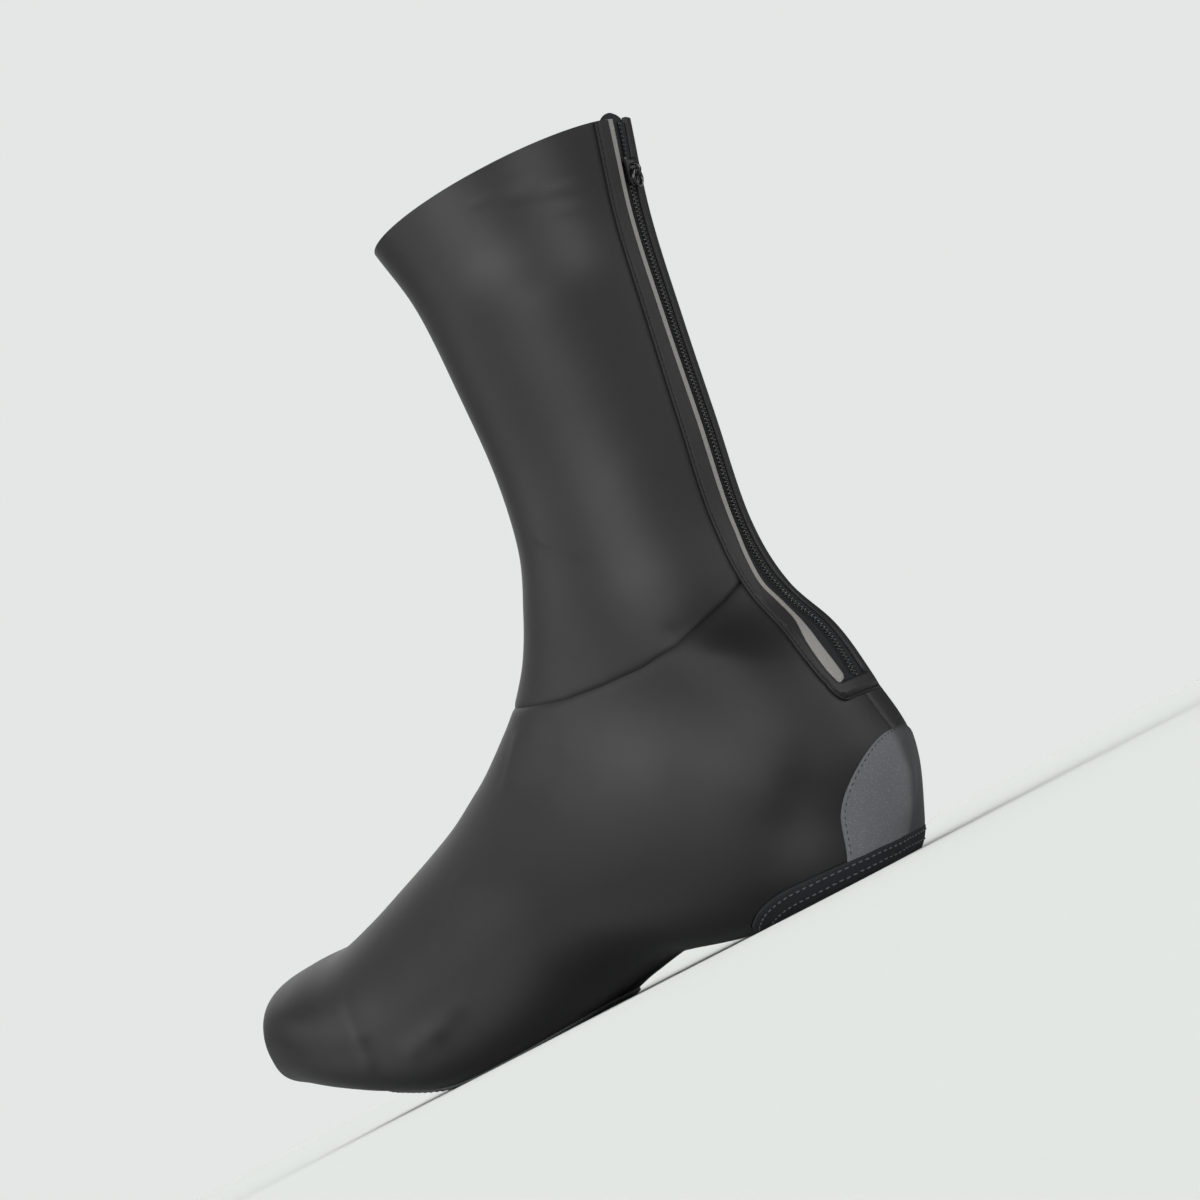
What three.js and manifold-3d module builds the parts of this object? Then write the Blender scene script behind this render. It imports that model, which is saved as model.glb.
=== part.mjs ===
// Tall stretch overshoe for a left cycling shoe, standing empty on its sole.
// Millimetres. +X runs to the toe, +Y to the wearer's left (the outer side), +Z up, floor at z = 0.
// The whole boot is one family of closed rings: each ring lies in a plane that holds the Y direction
// and a line from a point on the front of the boot to a point on its back or underside.
import * as THREE from 'three';
import { mergeVertices } from 'three/addons/utils/BufferGeometryUtils.js';
import Module from 'manifold-3d';

const wasm = await Module();
wasm.setup();

// Driving dimensions of the last
const footLength = 289.5;
const ballWidth = 102;
const instepHeight = 123;
const shaftRise = 160;
const collarDepth = 101;
const collarWidth = 90;

// Cloth and trim
const wall = 1.5;
const layerGap = 0.3;
const facingThickness = 1.0;
const patchThickness = 0.8;
const bindingProud = 0.8;

// Zip
const facingWidth = 12.8;
const slotHalf = 4.5;
const slotHalfHeel = 6;
const slotHalfCollar = 7.5;
const foldWidth = 3;
const zipLow = 62;
const boxHeight = 7;
const slitLength = 17;
const slotTaper = 27;
const tapeThickness = 0.8;
const coilHalf = 1.9;
const coilThickness = 1.9;

// Slider and its pull ring
const sliderLength = 9;
const sliderWidth = 8;
const plateThickness = 1.0;
const outerClearance = 0.4;
const innerClearance = 0.8;
const ringRadius = 2.75;
const ringWire = 0.65;
const crownWidth = 1.6;
const crownBar = 0.9;
const postWidth = 1.2;
const sunkDepth = 0.2;
const ringLift = 3;

// Openings under the boot
const heelOpening = {
  back: footLength * 0.067,
  front: footLength * 0.2,
  halfWidth: ballWidth * 0.24,
};
const heelBindingWidth = 9;
const heelBindingRise = 7;
const cleatOpening = {
  back: footLength * 0.494,
  front: footLength * 0.829,
  halfWidth: ballWidth * 0.417,
};
const cleatBindingWidth = 8;

// Heel patch, seen from behind
const patchHeight = 39.5;
const patchHalfWidth = 28;
const patchRoundShare = 0.55;
const patchSquareness = 2.4;
const patchSteps = 16;

// How finely the surface is drawn
const ringsPerSection = 2;
const pointsPerRing = 32;

// How far a cut from behind reaches into the boot
const cutDepth = footLength / 8;

const named = (columns, rows) =>
  rows.map((row) => Object.fromEntries(columns.map((column, i) => [column, row[i]])));

// Foot sections from the ankle bend to the toe tip. x is a share of the foot length, z of the
// instep height, y of the ball width. widest is where along the ring, from back to front, it is
// widest; top and sole say how square its front and back halves are (2 is an ellipse).
const footSections = named(
  ['frontX', 'frontZ', 'backX', 'backZ', 'left', 'right', 'middle', 'widest', 'top', 'sole'],
  [
    [0.373, 1.000, 0.009, 0.634, 0.373, 0.363, 0.000, 0.44, 2.0, 2.2],
    [0.403, 0.928, -0.002, 0.455, 0.377, 0.368, 0.000, 0.42, 2.0, 2.4],
    [0.432, 0.872, -0.009, 0.273, 0.382, 0.373, 0.000, 0.42, 2.0, 2.5],
    [0.459, 0.830, 0.020, 0.101, 0.387, 0.377, 0.000, 0.42, 2.0, 2.6],
    [0.485, 0.791, 0.067, -0.016, 0.392, 0.387, 0.000, 0.42, 2.0, 3.3],
    [0.509, 0.756, 0.147, -0.020, 0.402, 0.397, 0.000, 0.42, 2.0, 3.6],
    [0.536, 0.723, 0.243, -0.004, 0.417, 0.402, 0.000, 0.42, 2.0, 3.5],
    [0.568, 0.681, 0.358, 0.049, 0.436, 0.412, 0.000, 0.42, 2.1, 3.1],
    [0.610, 0.645, 0.468, 0.026, 0.454, 0.426, 0.000, 0.42, 2.1, 3.6],
    [0.664, 0.602, 0.568, -0.016, 0.490, 0.456, 0.000, 0.42, 2.2, 4.5],
    [0.725, 0.556, 0.665, -0.008, 0.515, 0.485, 0.000, 0.42, 2.3, 5.0],
    [0.790, 0.523, 0.750, 0.053, 0.510, 0.495, -0.005, 0.42, 2.4, 4.5],
    [0.860, 0.528, 0.832, 0.122, 0.475, 0.466, -0.029, 0.44, 2.5, 3.8],
    [0.924, 0.516, 0.905, 0.177, 0.402, 0.402, -0.074, 0.46, 2.6, 3.2],
    [0.965, 0.439, 0.962, 0.220, 0.305, 0.318, -0.108, 0.48, 2.6, 2.9],
    [0.988, 0.374, 0.988, 0.263, 0.182, 0.196, -0.127, 0.50, 2.3, 2.5],
    [1.000, 0.320, 1.000, 0.313, 0.010, 0.010, -0.137, 0.50, 2.0, 2.0],
  ],);

// Shaft sections from the collar down to the ankle. front and back are heights above the ankle
// bend's own ring, as shares of the shaft's rise; middle is a share of the foot length, depth of
// the collar's depth and width of the collar's width.
const shaftSections = named(
  ['front', 'back', 'middle', 'depth', 'width'],
  [
    [0.903, 1.158, 0.112, 1.000, 1.000],
    [0.749, 0.963, 0.122, 0.858, 0.922],
    [0.545, 0.744, 0.137, 0.803, 0.833],
    [0.359, 0.518, 0.153, 0.766, 0.767],
    [0.199, 0.293, 0.174, 0.756, 0.778],
    [0.083, 0.131, 0.188, 0.872, 0.811],
  ],);

// The seam between shaft and foot, seen from the side: x as a share of the foot length, z of the
// instep height.
const ankleSeam = named(
  ['x', 'z'],
  [
    [0.447, 0.905],
    [0.398, 0.874],
    [0.298, 0.812],
    [0.234, 0.788],
    [0.170, 0.774],
    [0.121, 0.782],
    [0.065, 0.833],
    [0.038, 0.880],
  ],
);

// How far the zip wanders to the inner side on its way up, in shares of the facing's width, with
// heights in shares of the collar's back height.
const zipPath = named(
  ['height', 'drift'],
  [
    [0.00, 0.00],
    [0.30, 0.00],
    [0.38, -0.10],
    [0.46, -0.28],
    [0.57, -0.42],
    [0.76, -0.46],
    [0.90, -0.36],
    [1.00, -0.22],
    [1.10, -0.15],
  ],
);

const ankle = footSections[0];
const footRow = (s) => [
  s.frontX * footLength,
  s.frontZ * instepHeight,
  s.backX * footLength,
  s.backZ * instepHeight,
  s.left * ballWidth,
  s.right * ballWidth,
  s.middle * ballWidth,
  s.widest,
  s.top,
  s.sole,
];
const shaftRow = (s) => [
  s.middle * footLength + (s.depth * collarDepth) / 2,
  ankle.frontZ * instepHeight + s.front * shaftRise,
  s.middle * footLength - (s.depth * collarDepth) / 2,
  ankle.backZ * instepHeight + s.back * shaftRise,
  (s.width * collarWidth) / 2,
  (s.width * collarWidth) / 2,
  0,
  0.5,
  2,
  2,
];
const rows = [...shaftSections.map(shaftRow), ...footSections.map(footRow)];
const collarBackZ = rows[0][3];
const collarFrontZ = rows[0][1];

// A smooth run through neighbouring values, t from 0 to 1 between b and c
const blend = (a, b, c, d, t) =>
  0.5 * (2 * b + (c - a) * t + (2 * a - 5 * b + 4 * c - d) * t * t
    + (3 * b - a - 3 * c + d) * t * t * t);

function sectionAt(place) {
  const last = rows.length - 1;
  const i = Math.min(Math.floor(place), last - 1);
  const pick = (k, column) => {
    if (k < 0) return 2 * rows[0][column] - rows[1][column];
    if (k > last) return 2 * rows[last][column] - rows[last - 1][column];
    return rows[k][column];
  };
  const t = place - i;
  return rows[0].map((_, c) => blend(pick(i - 1, c), pick(i, c), pick(i + 1, c), pick(i + 2, c), t));
}

// A point of the outer surface: place counts sections from the collar, angle is 0 at the front or
// top, a quarter turn at the left side and a half turn at the back or sole
function surfacePoint(place, angle) {
  const [frontX, frontZ, backX, backZ, left, right, middle, widest, top, sole] = sectionAt(place);
  const c = Math.cos(angle);
  const s = Math.sin(angle);
  const power = 2 / (c > 0 ? top : sole);
  const along = Math.sign(c) * Math.abs(c) ** power;
  const share = along > 0 ? widest + (1 - widest) * along : widest * (1 + along);
  const side = Math.abs(s) ** power * (s > 0 ? left : -right) + middle;
  return new THREE.Vector3(
    backX + (frontX - backX) * share,
    side,
    backZ + (frontZ - backZ) * share,
  );
}

function surfaceNormal(place, angle) {
  const step = 0.02;
  const lastPlace = rows.length - 1;
  const up = surfacePoint(Math.max(place - step, 0), angle);
  const down = surfacePoint(Math.min(place + step, lastPlace), angle);
  const turn = surfacePoint(place, angle + step).sub(surfacePoint(place, angle - step));
  return down.sub(up).cross(turn).normalize();
}

// The surface moved out by a distance (in where it is negative), and pressed flat on the floor
function offsetPoint(place, angle, distance) {
  const point = surfacePoint(place, angle).addScaledVector(surfaceNormal(place, angle), distance);
  point.z = Math.max(point.z, distance < 0 ? -distance : 0);
  return point;
}

function geometryOf(points, triangles) {
  const geometry = new THREE.BufferGeometry();
  const numbers = points.flatMap((p) => p.toArray());
  geometry.setAttribute('position', new THREE.Float32BufferAttribute(numbers, 3));
  geometry.setIndex(triangles.flat());
  return geometry;
}

// The boot between two offsets of its outer surface, open at the collar and closed at the toe
function bootShell(outside, inside, firstPlace = 0) {
  const toePlace = rows.length - 1;
  const count = Math.round((toePlace - firstPlace) * ringsPerSection);
  const points = [];
  const triangles = [];
  const skins = [outside, inside].map((distance) => {
    const start = points.length;
    for (let i = 0; i < count; i += 1) {
      const place = firstPlace + ((toePlace - firstPlace) * i) / count;
      for (let j = 0; j < pointsPerRing; j += 1) {
        points.push(offsetPoint(place, (2 * Math.PI * j) / pointsPerRing, distance));
      }
    }
    points.push(surfacePoint(toePlace, Math.PI / 2).add(new THREE.Vector3(distance, 0, 0)));
    return start;
  });
  const at = (start, i, j) => start + i * pointsPerRing + (j % pointsPerRing);
  skins.forEach((start, k) => {
    const face = (a, b, c) => triangles.push(k === 0 ? [a, b, c] : [a, c, b]);
    const pole = start + count * pointsPerRing;
    for (let j = 0; j < pointsPerRing; j += 1) {
      for (let i = 0; i < count - 1; i += 1) {
        face(at(start, i, j), at(start, i + 1, j), at(start, i + 1, j + 1));
        face(at(start, i, j), at(start, i + 1, j + 1), at(start, i, j + 1));
      }
      face(at(start, count - 1, j), pole, at(start, count - 1, j + 1));
    }
  });
  const [outer, inner] = skins;
  for (let j = 0; j < pointsPerRing; j += 1) {
    triangles.push([at(outer, 0, j), at(outer, 0, j + 1), at(inner, 0, j + 1)]);
    triangles.push([at(outer, 0, j), at(inner, 0, j + 1), at(inner, 0, j)]);
  }
  return geometryOf(points, triangles);
}

function signedVolume(geometry) {
  const p = geometry.getAttribute('position');
  const index = geometry.getIndex();
  const [a, b, c] = [new THREE.Vector3(), new THREE.Vector3(), new THREE.Vector3()];
  let volume = 0;
  for (let i = 0; i < index.count; i += 3) {
    a.fromBufferAttribute(p, index.getX(i));
    b.fromBufferAttribute(p, index.getX(i + 1));
    c.fromBufferAttribute(p, index.getX(i + 2));
    volume += a.dot(b.cross(c)) / 6;
  }
  return volume;
}

// A closed geometry as a solid that can be joined and cut
function solid(source) {
  const bare = source.clone();
  bare.deleteAttribute('normal');
  bare.deleteAttribute('uv');
  const geometry = mergeVertices(bare, 1e-4);
  const index = Array.from(geometry.getIndex().array);
  if (signedVolume(geometry) < 0) {
    for (let i = 0; i < index.length; i += 3) {
      [index[i + 1], index[i + 2]] = [index[i + 2], index[i + 1]];
    }
  }
  return new wasm.Manifold(new wasm.Mesh({
    numProp: 3,
    vertProperties: Float32Array.from(geometry.getAttribute('position').array),
    triVerts: Uint32Array.from(index),
  }));
}

// The largest single body of a solid, as a geometry again
function geometryFrom(result) {
  const bodies = result.decompose().sort((a, b) => b.volume() - a.volume());
  const mesh = bodies[0].getMesh();
  const geometry = new THREE.BufferGeometry();
  geometry.setAttribute('position', new THREE.Float32BufferAttribute(mesh.vertProperties, 3));
  geometry.setIndex(new THREE.BufferAttribute(mesh.triVerts, 1));
  return geometry;
}

// Straight prisms that cut outlines out of the boot: up through the sole, in from the side and in
// from the back. Outline points are [x, y], [x, z] and [y, z].
const reach = 2 * footLength;
function prism(outline, depth) {
  const shape = new THREE.Shape(outline.map(([u, v]) => new THREE.Vector2(u, v)));
  return new THREE.ExtrudeGeometry(shape, { depth, bevelEnabled: false });
}
const fromBelow = (outline, height) => solid(prism(outline, height + wall).translate(0, 0, -wall));
const fromSide = (outline) => solid(prism(outline, reach).rotateX(Math.PI / 2).translate(0, reach / 2, 0));
function fromBack(outline, depth) {
  const turned = new THREE.Matrix4().makeBasis(
    new THREE.Vector3(0, 1, 0),
    new THREE.Vector3(0, 0, 1),
    new THREE.Vector3(1, 0, 0),
  );
  return solid(prism(outline, reach + depth).applyMatrix4(turned).translate(-reach, 0, 0));
}

// A closed oval in plan with squarish ends
function ovalOutline({ back, front, halfWidth }, inset, squareness = 2.5) {
  const steps = 32;
  const middle = (front + back) / 2;
  const half = (front - back) / 2 - inset;
  const wide = halfWidth - inset;
  const power = 2 / squareness;
  return Array.from({ length: steps }, (_, i) => {
    const a = (2 * Math.PI * i) / steps;
    const c = Math.cos(a);
    const s = Math.sin(a);
    return [
      middle + half * Math.sign(c) * Math.abs(c) ** power,
      wide * Math.sign(s) * Math.abs(s) ** power,
    ];
  });
}

// Shaft and foot, parted along the ankle seam
const seamLine = ankleSeam.map(({ x, z }) => [x * footLength, z * instepHeight]);
const seamRise = { front: footLength / 5, back: footLength / 2 };
const seamStart = [2 * footLength, seamLine[0][1] + seamRise.front];
const seamEnd = [-footLength, seamLine.at(-1)[1] + seamRise.back];
const aboveSeam = (gap) => fromSide([
  seamStart,
  ...seamLine,
  seamEnd,
  [-footLength, 2 * collarFrontZ],
  [2 * footLength, 2 * collarFrontZ],
].map(([x, z], i) => [x, i < seamLine.length + 2 ? z + gap : z]));

// The zip's centre line and the gap between its two folded edges, by height
function zipCentre(z) {
  const height = z / collarBackZ;
  const i = zipPath.findIndex((p, k) => k > 0 && height <= p.height);
  const k = i < 0 ? zipPath.length - 1 : i;
  const [low, high] = [zipPath[k - 1], zipPath[k]];
  const t = THREE.MathUtils.clamp((height - low.height) / (high.height - low.height), 0, 1);
  const before = zipPath[k - 2] ?? low;
  const after = zipPath[k + 1] ?? high;
  return facingWidth * blend(before.drift, low.drift, high.drift, after.drift, t);
}
const slitLow = collarBackZ - slitLength;
const ankleZ = ankle.backZ * instepHeight;
function slotHalfAt(z) {
  const heelShare = 1 - THREE.MathUtils.smoothstep(z, ankleZ, ankleZ + slotTaper);
  const collarShare = THREE.MathUtils.clamp((z - slitLow) / slitLength, 0, 1);
  return slotHalf + (slotHalfHeel - slotHalf) * heelShare + (slotHalfCollar - slotHalf) * collarShare;
}
const zipSteps = 15;
const zipHeights = Array.from({ length: zipSteps + 1 }, (_, i) => i / zipSteps);
function zipBand(low, high, leftEdge, rightEdge) {
  const even = zipHeights.map((t) => low + (high - low) * t);
  const kinks = [slitLow, collarBackZ].filter((z) => z > low && z < high);
  const levels = [...even, ...kinks].sort((p, q) => p - q);
  return [
    ...levels.map((z) => [leftEdge(z), z]),
    ...levels.reverse().map((z) => [rightEdge(z), z]),
  ];
}
const facingOuter = (z, side) => (side > 0 ? facingWidth : 2 * zipCentre(z) - facingWidth);
const overCollar = collarFrontZ + wall;
const panelEdge = (z, side) => zipCentre(z) + side * (slotHalfAt(z) + foldWidth);
const zipSlot = fromBack(
  zipBand(zipLow, overCollar, (z) => panelEdge(z, 1), (z) => panelEdge(z, -1)),
  cutDepth,
);

// The heel binding covers the heel's lower edge: in plan a wide oval, from the side a low band that
// rises towards the middle of the heel and dips under the arch
const heelBand = {
  back: -footLength / 10,
  front: heelOpening.front + heelBindingWidth,
  halfWidth: ballWidth / 2,
};
const heelBandSquareness = 3;
// Its upper edge from front to back: x as a share of the band's front, z of the binding's rise
const heelBandTop = named(
  ['x', 'z'],
  [
    [0.86, 0.75],
    [0.76, 1.07],
    [0.64, 1.25],
    [0.40, 1.15],
    [0.15, 1.00],
  ],
);
function heelZone(gap) {
  const { front } = heelBand;
  const lowBand = fromSide([
    [-footLength, -footLength],
    [front + gap, -footLength],
    [front + gap, 0],
    ...heelBandTop.map(({ x, z }) => [front * x, heelBindingRise * z + gap]),
    [-footLength, heelBindingRise + gap],
  ]);
  const plan = ovalOutline(heelBand, -gap, heelBandSquareness);
  return lowBand.intersect(fromBelow(plan, patchHeight / 2));
}
const openings = {
  heel: heelZone(layerGap),
  cleat: fromBelow(ovalOutline(cleatOpening, -layerGap), patchHeight / 2),
};
const outerShell = solid(bootShell(0, -wall));
const upperHalf = aboveSeam(layerGap / 2);
const lowerHalf = aboveSeam(-layerGap / 2);
const shaft = outerShell.intersect(upperHalf).subtract(zipSlot);
const footPanel = outerShell
  .subtract(lowerHalf)
  .subtract(zipSlot)
  .subtract(openings.heel)
  .subtract(openings.cleat);

// Bound edges of the two openings: a folded tape that stands proud inside and out
const bindingShell = solid(bootShell(bindingProud, -wall - bindingProud));
const heelBinding = bindingShell
  .intersect(heelZone(0))
  .subtract(fromBelow(ovalOutline(heelOpening, 0), patchHeight));
const cleatBinding = bindingShell
  .intersect(fromBelow(ovalOutline(cleatOpening, 0), patchHeight / 2))
  .subtract(fromBelow(ovalOutline(cleatOpening, cleatBindingWidth), patchHeight));

// Heel patch, laid on the foot panel and stopped above the heel binding
const patchOutline = [
  [-patchHalfWidth, 0],
  [patchHalfWidth, 0],
  ...Array.from({ length: patchSteps + 1 }, (_, i) => {
    const a = (Math.PI * i) / patchSteps;
    const power = 2 / patchSquareness;
    const c = Math.cos(a);
    const lift = patchHeight * patchRoundShare;
    return [
      patchHalfWidth * Math.sign(c) * Math.abs(c) ** power,
      patchHeight - lift + lift * Math.sin(a) ** power,
    ];
  }),
];
const patchShell = solid(bootShell(layerGap + patchThickness, layerGap));
const heelPatch = patchShell
  .intersect(fromBack(patchOutline, cutDepth))
  .subtract(openings.heel);

// Folded facings beside the zip, and the stitched box under its lower end
const facingShell = solid(bootShell(layerGap + facingThickness, layerGap));
const facing = (side) => facingShell.intersect(fromBack(
  zipBand(
    zipLow,
    overCollar,
    (z) => facingOuter(z, side),
    (z) => zipCentre(z) + side * slotHalfAt(z),
  ),
  cutDepth,
));
const endBox = facingShell.intersect(fromBack(
  zipBand(
    zipLow - boxHeight,
    zipLow - layerGap,
    (z) => facingOuter(z, 1),
    (z) => facingOuter(z, -1),
  ),
  cutDepth,
));

// Zip tapes lie in the wall's own thickness, under the facings; above the slider each carries its
// half of the open coil
const sliderTop = slitLow + sliderLength / 2;
const tapeTop = collarBackZ - wall;
const tapeLow = zipLow + layerGap;
const coilTop = slitLow - sliderLength / 2 + 2 * layerGap;
const splay = (z) => {
  const t = THREE.MathUtils.clamp((z - coilTop) / (tapeTop - coilTop), 0, 1);
  return t * (slotHalfCollar - slotHalf + coilHalf);
};
const tapeShell = solid(bootShell(-layerGap, -layerGap - tapeThickness));
const coilShell = solid(bootShell(layerGap, layerGap - coilThickness));
function tape(side) {
  const cloth = tapeShell.intersect(fromBack(
    zipBand(
      tapeLow,
      tapeTop,
      (z) => panelEdge(z, side) - side * layerGap,
      (z) => zipCentre(z) + side * (coilHalf + layerGap + splay(z)),
    ),
    cutDepth,
  ));
  const openCoil = coilShell.intersect(fromBack(
    zipBand(
      sliderTop + layerGap,
      tapeTop,
      (z) => zipCentre(z) + side * (coilHalf + layerGap + splay(z) + wall),
      (z) => zipCentre(z) + side * (layerGap + splay(z)),
    ),
    cutDepth,
  ));
  return cloth.add(openCoil);
}
const coil = coilShell.intersect(fromBack(
  zipBand(tapeLow, coilTop, (z) => zipCentre(z) + coilHalf, (z) => zipCentre(z) - coilHalf),
  cutDepth,
));

// Slider: two plates joined by a post in the fork of the open coil, with a crown for the ring.
// It is built upright and then leaned to lie along the back of the shaft.
const searchSteps = 40;
const backPoint = (z) => {
  const y = zipCentre(z);
  let low = 0;
  let high = shaftSections.length;
  for (let i = 0; i < searchSteps; i += 1) {
    const mid = (low + high) / 2;
    if (surfacePoint(mid, Math.PI).z > z) low = mid;
    else high = mid;
  }
  const offCentre = Math.asin(THREE.MathUtils.clamp(y / (collarWidth / 2), -1, 1));
  return surfacePoint(low, Math.PI - offCentre);
};
const sliderSeat = backPoint(slitLow);
const seatAbove = backPoint(slitLow + sliderLength);
const seatBelow = backPoint(slitLow - sliderLength);
const lean = Math.atan2(seatAbove.x - seatBelow.x, seatAbove.z - seatBelow.z);
const coilFace = layerGap;
const coilBack = coilThickness - layerGap;
const outerPlateNear = coilFace + layerGap + outerClearance;
const innerPlateNear = coilBack + layerGap + innerClearance;
const crownHole = 2 * ringWire + 3 * layerGap;
// The plate's outline in shares of the slider's width and length
const plateCorners = named(
  ['across', 'up'],
  [
    [-0.50, 0.50],
    [-0.36, -0.50],
    [0.36, -0.50],
    [0.50, 0.50],
    [0.20, 0.40],
    [-0.20, 0.40],
  ],
);
const plateOutline = new THREE.Shape(
  plateCorners.map(({ across, up }) => new THREE.Vector2(across * sliderWidth, up * sliderLength)),
);
function plate(near, thickness) {
  const turned = new THREE.Matrix4().makeBasis(
    new THREE.Vector3(0, 1, 0),
    new THREE.Vector3(0, 0, 1),
    new THREE.Vector3(1, 0, 0),
  );
  const geometry = new THREE.ExtrudeGeometry(plateOutline, { depth: thickness, bevelEnabled: false });
  return solid(geometry.applyMatrix4(turned).translate(near, 0, 0));
}
const postDepth = innerPlateNear + outerPlateNear + plateThickness;
const post = solid(new THREE.BoxGeometry(postDepth, postWidth, sliderLength / 3)
  .translate((innerPlateNear - outerPlateNear) / 2, 0, sliderLength / 5));
const crownLength = crownHole + 2 * crownBar;
const crownReach = outerPlateNear + plateThickness + crownHole + crownBar;
const crownFoot = outerPlateNear + sunkDepth;
const crown = solid(new THREE.BoxGeometry(crownReach - crownFoot, crownWidth, crownLength)
  .translate(-(crownReach + crownFoot) / 2, 0, 0));
const crownGap = solid(new THREE.BoxGeometry(crownHole, crownWidth * 2, crownHole)
  .translate(-(outerPlateNear + plateThickness + crownHole / 2), 0, 0));
const slider = plate(-outerPlateNear - plateThickness, plateThickness)
  .add(plate(innerPlateNear, plateThickness))
  .add(post)
  .add(crown.subtract(crownGap));
const pivot = new THREE.Vector3(-(outerPlateNear + plateThickness + crownHole / 2), 0, 0)
  .applyAxisAngle(new THREE.Vector3(0, 1, 0), lean)
  .add(sliderSeat);

const finish = (color, roughness, metalness = 0) =>
  new THREE.MeshStandardMaterial({ color, roughness, metalness });
const rubber = () => finish(0x2c2c2d, 0.55);

const overshoe = new THREE.Group();
function put(name, geometry, material) {
  const mesh = new THREE.Mesh(geometry, material);
  mesh.name = name;
  overshoe.add(mesh);
  return mesh;
}

put('foot_panel', geometryFrom(footPanel), rubber());
put('shaft', geometryFrom(shaft), rubber());
put('heel_patch', geometryFrom(heelPatch), finish(0x4a4b4d, 0.45));
put('heel_binding', geometryFrom(heelBinding), finish(0x17181b, 0.9));
put('cleat_binding', geometryFrom(cleatBinding), finish(0x17181b, 0.9));
put('zip_facing_left', geometryFrom(facing(1)), finish(0x343434, 0.5));
put('zip_facing_right', geometryFrom(facing(-1)), finish(0x343434, 0.5));
put('zip_end_box', geometryFrom(endBox), finish(0x343434, 0.5));
put('zip_tape_left', geometryFrom(tape(1)), finish(0x121213, 0.9));
put('zip_tape_right', geometryFrom(tape(-1)), finish(0x121213, 0.9));
put('zip_coil', geometryFrom(coil), finish(0x0c0c0c, 0.35));

const sliderMesh = put('zip_slider', geometryFrom(slider), finish(0x101010, 0.3, 0.6));
sliderMesh.position.copy(sliderSeat);
sliderMesh.rotation.y = lean;

// The pull ring hangs from the crown and lies close along the slider's plate
const ringGeometry = new THREE.TorusGeometry(ringRadius, ringWire, 8, 20);
ringGeometry.rotateY(Math.PI / 2);
const ring = put('zip_pull_ring', ringGeometry, finish(0x0d0d0d, 0.25, 0.3));
const ringLean = lean + THREE.MathUtils.degToRad(ringLift);
const hanging = new THREE.Vector3(0, 0, -ringRadius).applyAxisAngle(new THREE.Vector3(0, 1, 0), ringLean);
ring.rotation.y = ringLean;
ring.position.copy(pivot).add(hanging);

// The origin sits under the middle of the whole boot, on the floor
const extent = new THREE.Box3().setFromObject(overshoe, true);
const middle = extent.getCenter(new THREE.Vector3());
overshoe.position.set(-middle.x, -middle.y, -extent.min.z);

export default overshoe;
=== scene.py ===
import math

import bmesh
import bpy
import numpy as np
from mathutils import Matrix, Vector
from mathutils.bvhtree import BVHTree


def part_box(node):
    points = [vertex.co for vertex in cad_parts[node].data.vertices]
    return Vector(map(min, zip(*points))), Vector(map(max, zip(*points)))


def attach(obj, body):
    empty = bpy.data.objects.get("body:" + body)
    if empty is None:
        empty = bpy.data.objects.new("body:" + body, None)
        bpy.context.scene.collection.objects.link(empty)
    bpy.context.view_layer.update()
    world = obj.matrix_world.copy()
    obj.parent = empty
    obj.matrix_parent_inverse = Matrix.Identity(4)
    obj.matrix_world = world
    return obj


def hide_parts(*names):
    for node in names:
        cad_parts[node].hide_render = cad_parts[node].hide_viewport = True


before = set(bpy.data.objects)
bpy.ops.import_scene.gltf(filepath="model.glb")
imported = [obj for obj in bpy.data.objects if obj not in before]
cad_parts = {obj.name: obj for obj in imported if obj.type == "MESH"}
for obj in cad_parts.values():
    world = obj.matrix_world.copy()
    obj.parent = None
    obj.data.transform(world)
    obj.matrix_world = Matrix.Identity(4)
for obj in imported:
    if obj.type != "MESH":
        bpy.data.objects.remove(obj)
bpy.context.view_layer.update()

bpy.ops.object.select_all(action="DESELECT")

# ----------------------------------------------------------
# The studio: a wide pale floor under soft lights, strong and low from in front and from both sides,
# weak from above, and a dim room. The camera lies just above the floor, rolled with the shoe.

foot_length = 289.5
toe_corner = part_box("foot_panel")[1]
cleat_low, cleat_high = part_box("cleat_binding")
shoe_zero = np.array([toe_corner[0] - foot_length / 1000, (cleat_low[1] + cleat_high[1]) / 2, 0.0])


def packed(points):
    """Points in the shoe's own millimetres (heel at x 0, sole line at y 0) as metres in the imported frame."""
    return shoe_zero + np.asarray(points, float) / 1000


def linear(hex_colour, alpha=1.0):
    """An sRGB hex colour as linear red, green, blue and alpha."""
    parts = [int(hex_colour[i : i + 2], 16) / 255 for i in (1, 3, 5)]
    parts = [c / 12.92 if c <= 0.04045 else ((c + 0.055) / 1.055) ** 2.4 for c in parts]
    return (*parts, alpha)


def set_inputs(node, inputs):
    """Sets a node's inputs, or links them where the value is another node's socket."""
    for name, value in inputs.items():
        if isinstance(value, bpy.types.NodeSocket):
            node.id_data.links.new(value, node.inputs[name])
        else:
            node.inputs[name].default_value = value


def add_node(tree, kind, inputs=None, **settings):
    """Adds a node to a tree, sets its properties, and sets or links its inputs."""
    made = tree.nodes.new(kind)
    for name, value in settings.items():
        setattr(made, name, value)
    set_inputs(made, inputs or {})
    return made


def new_material(name):
    """An empty material with its tree, its shader and the object's own coordinates."""
    made = bpy.data.materials.new(name)
    made.use_nodes = True
    tree = made.node_tree
    tree.nodes.clear()
    shader = add_node(tree, "ShaderNodeBsdfPrincipled")
    add_node(tree, "ShaderNodeOutputMaterial", {"Surface": shader.outputs["BSDF"]})
    return made, tree, shader, add_node(tree, "ShaderNodeTexCoord").outputs


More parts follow.
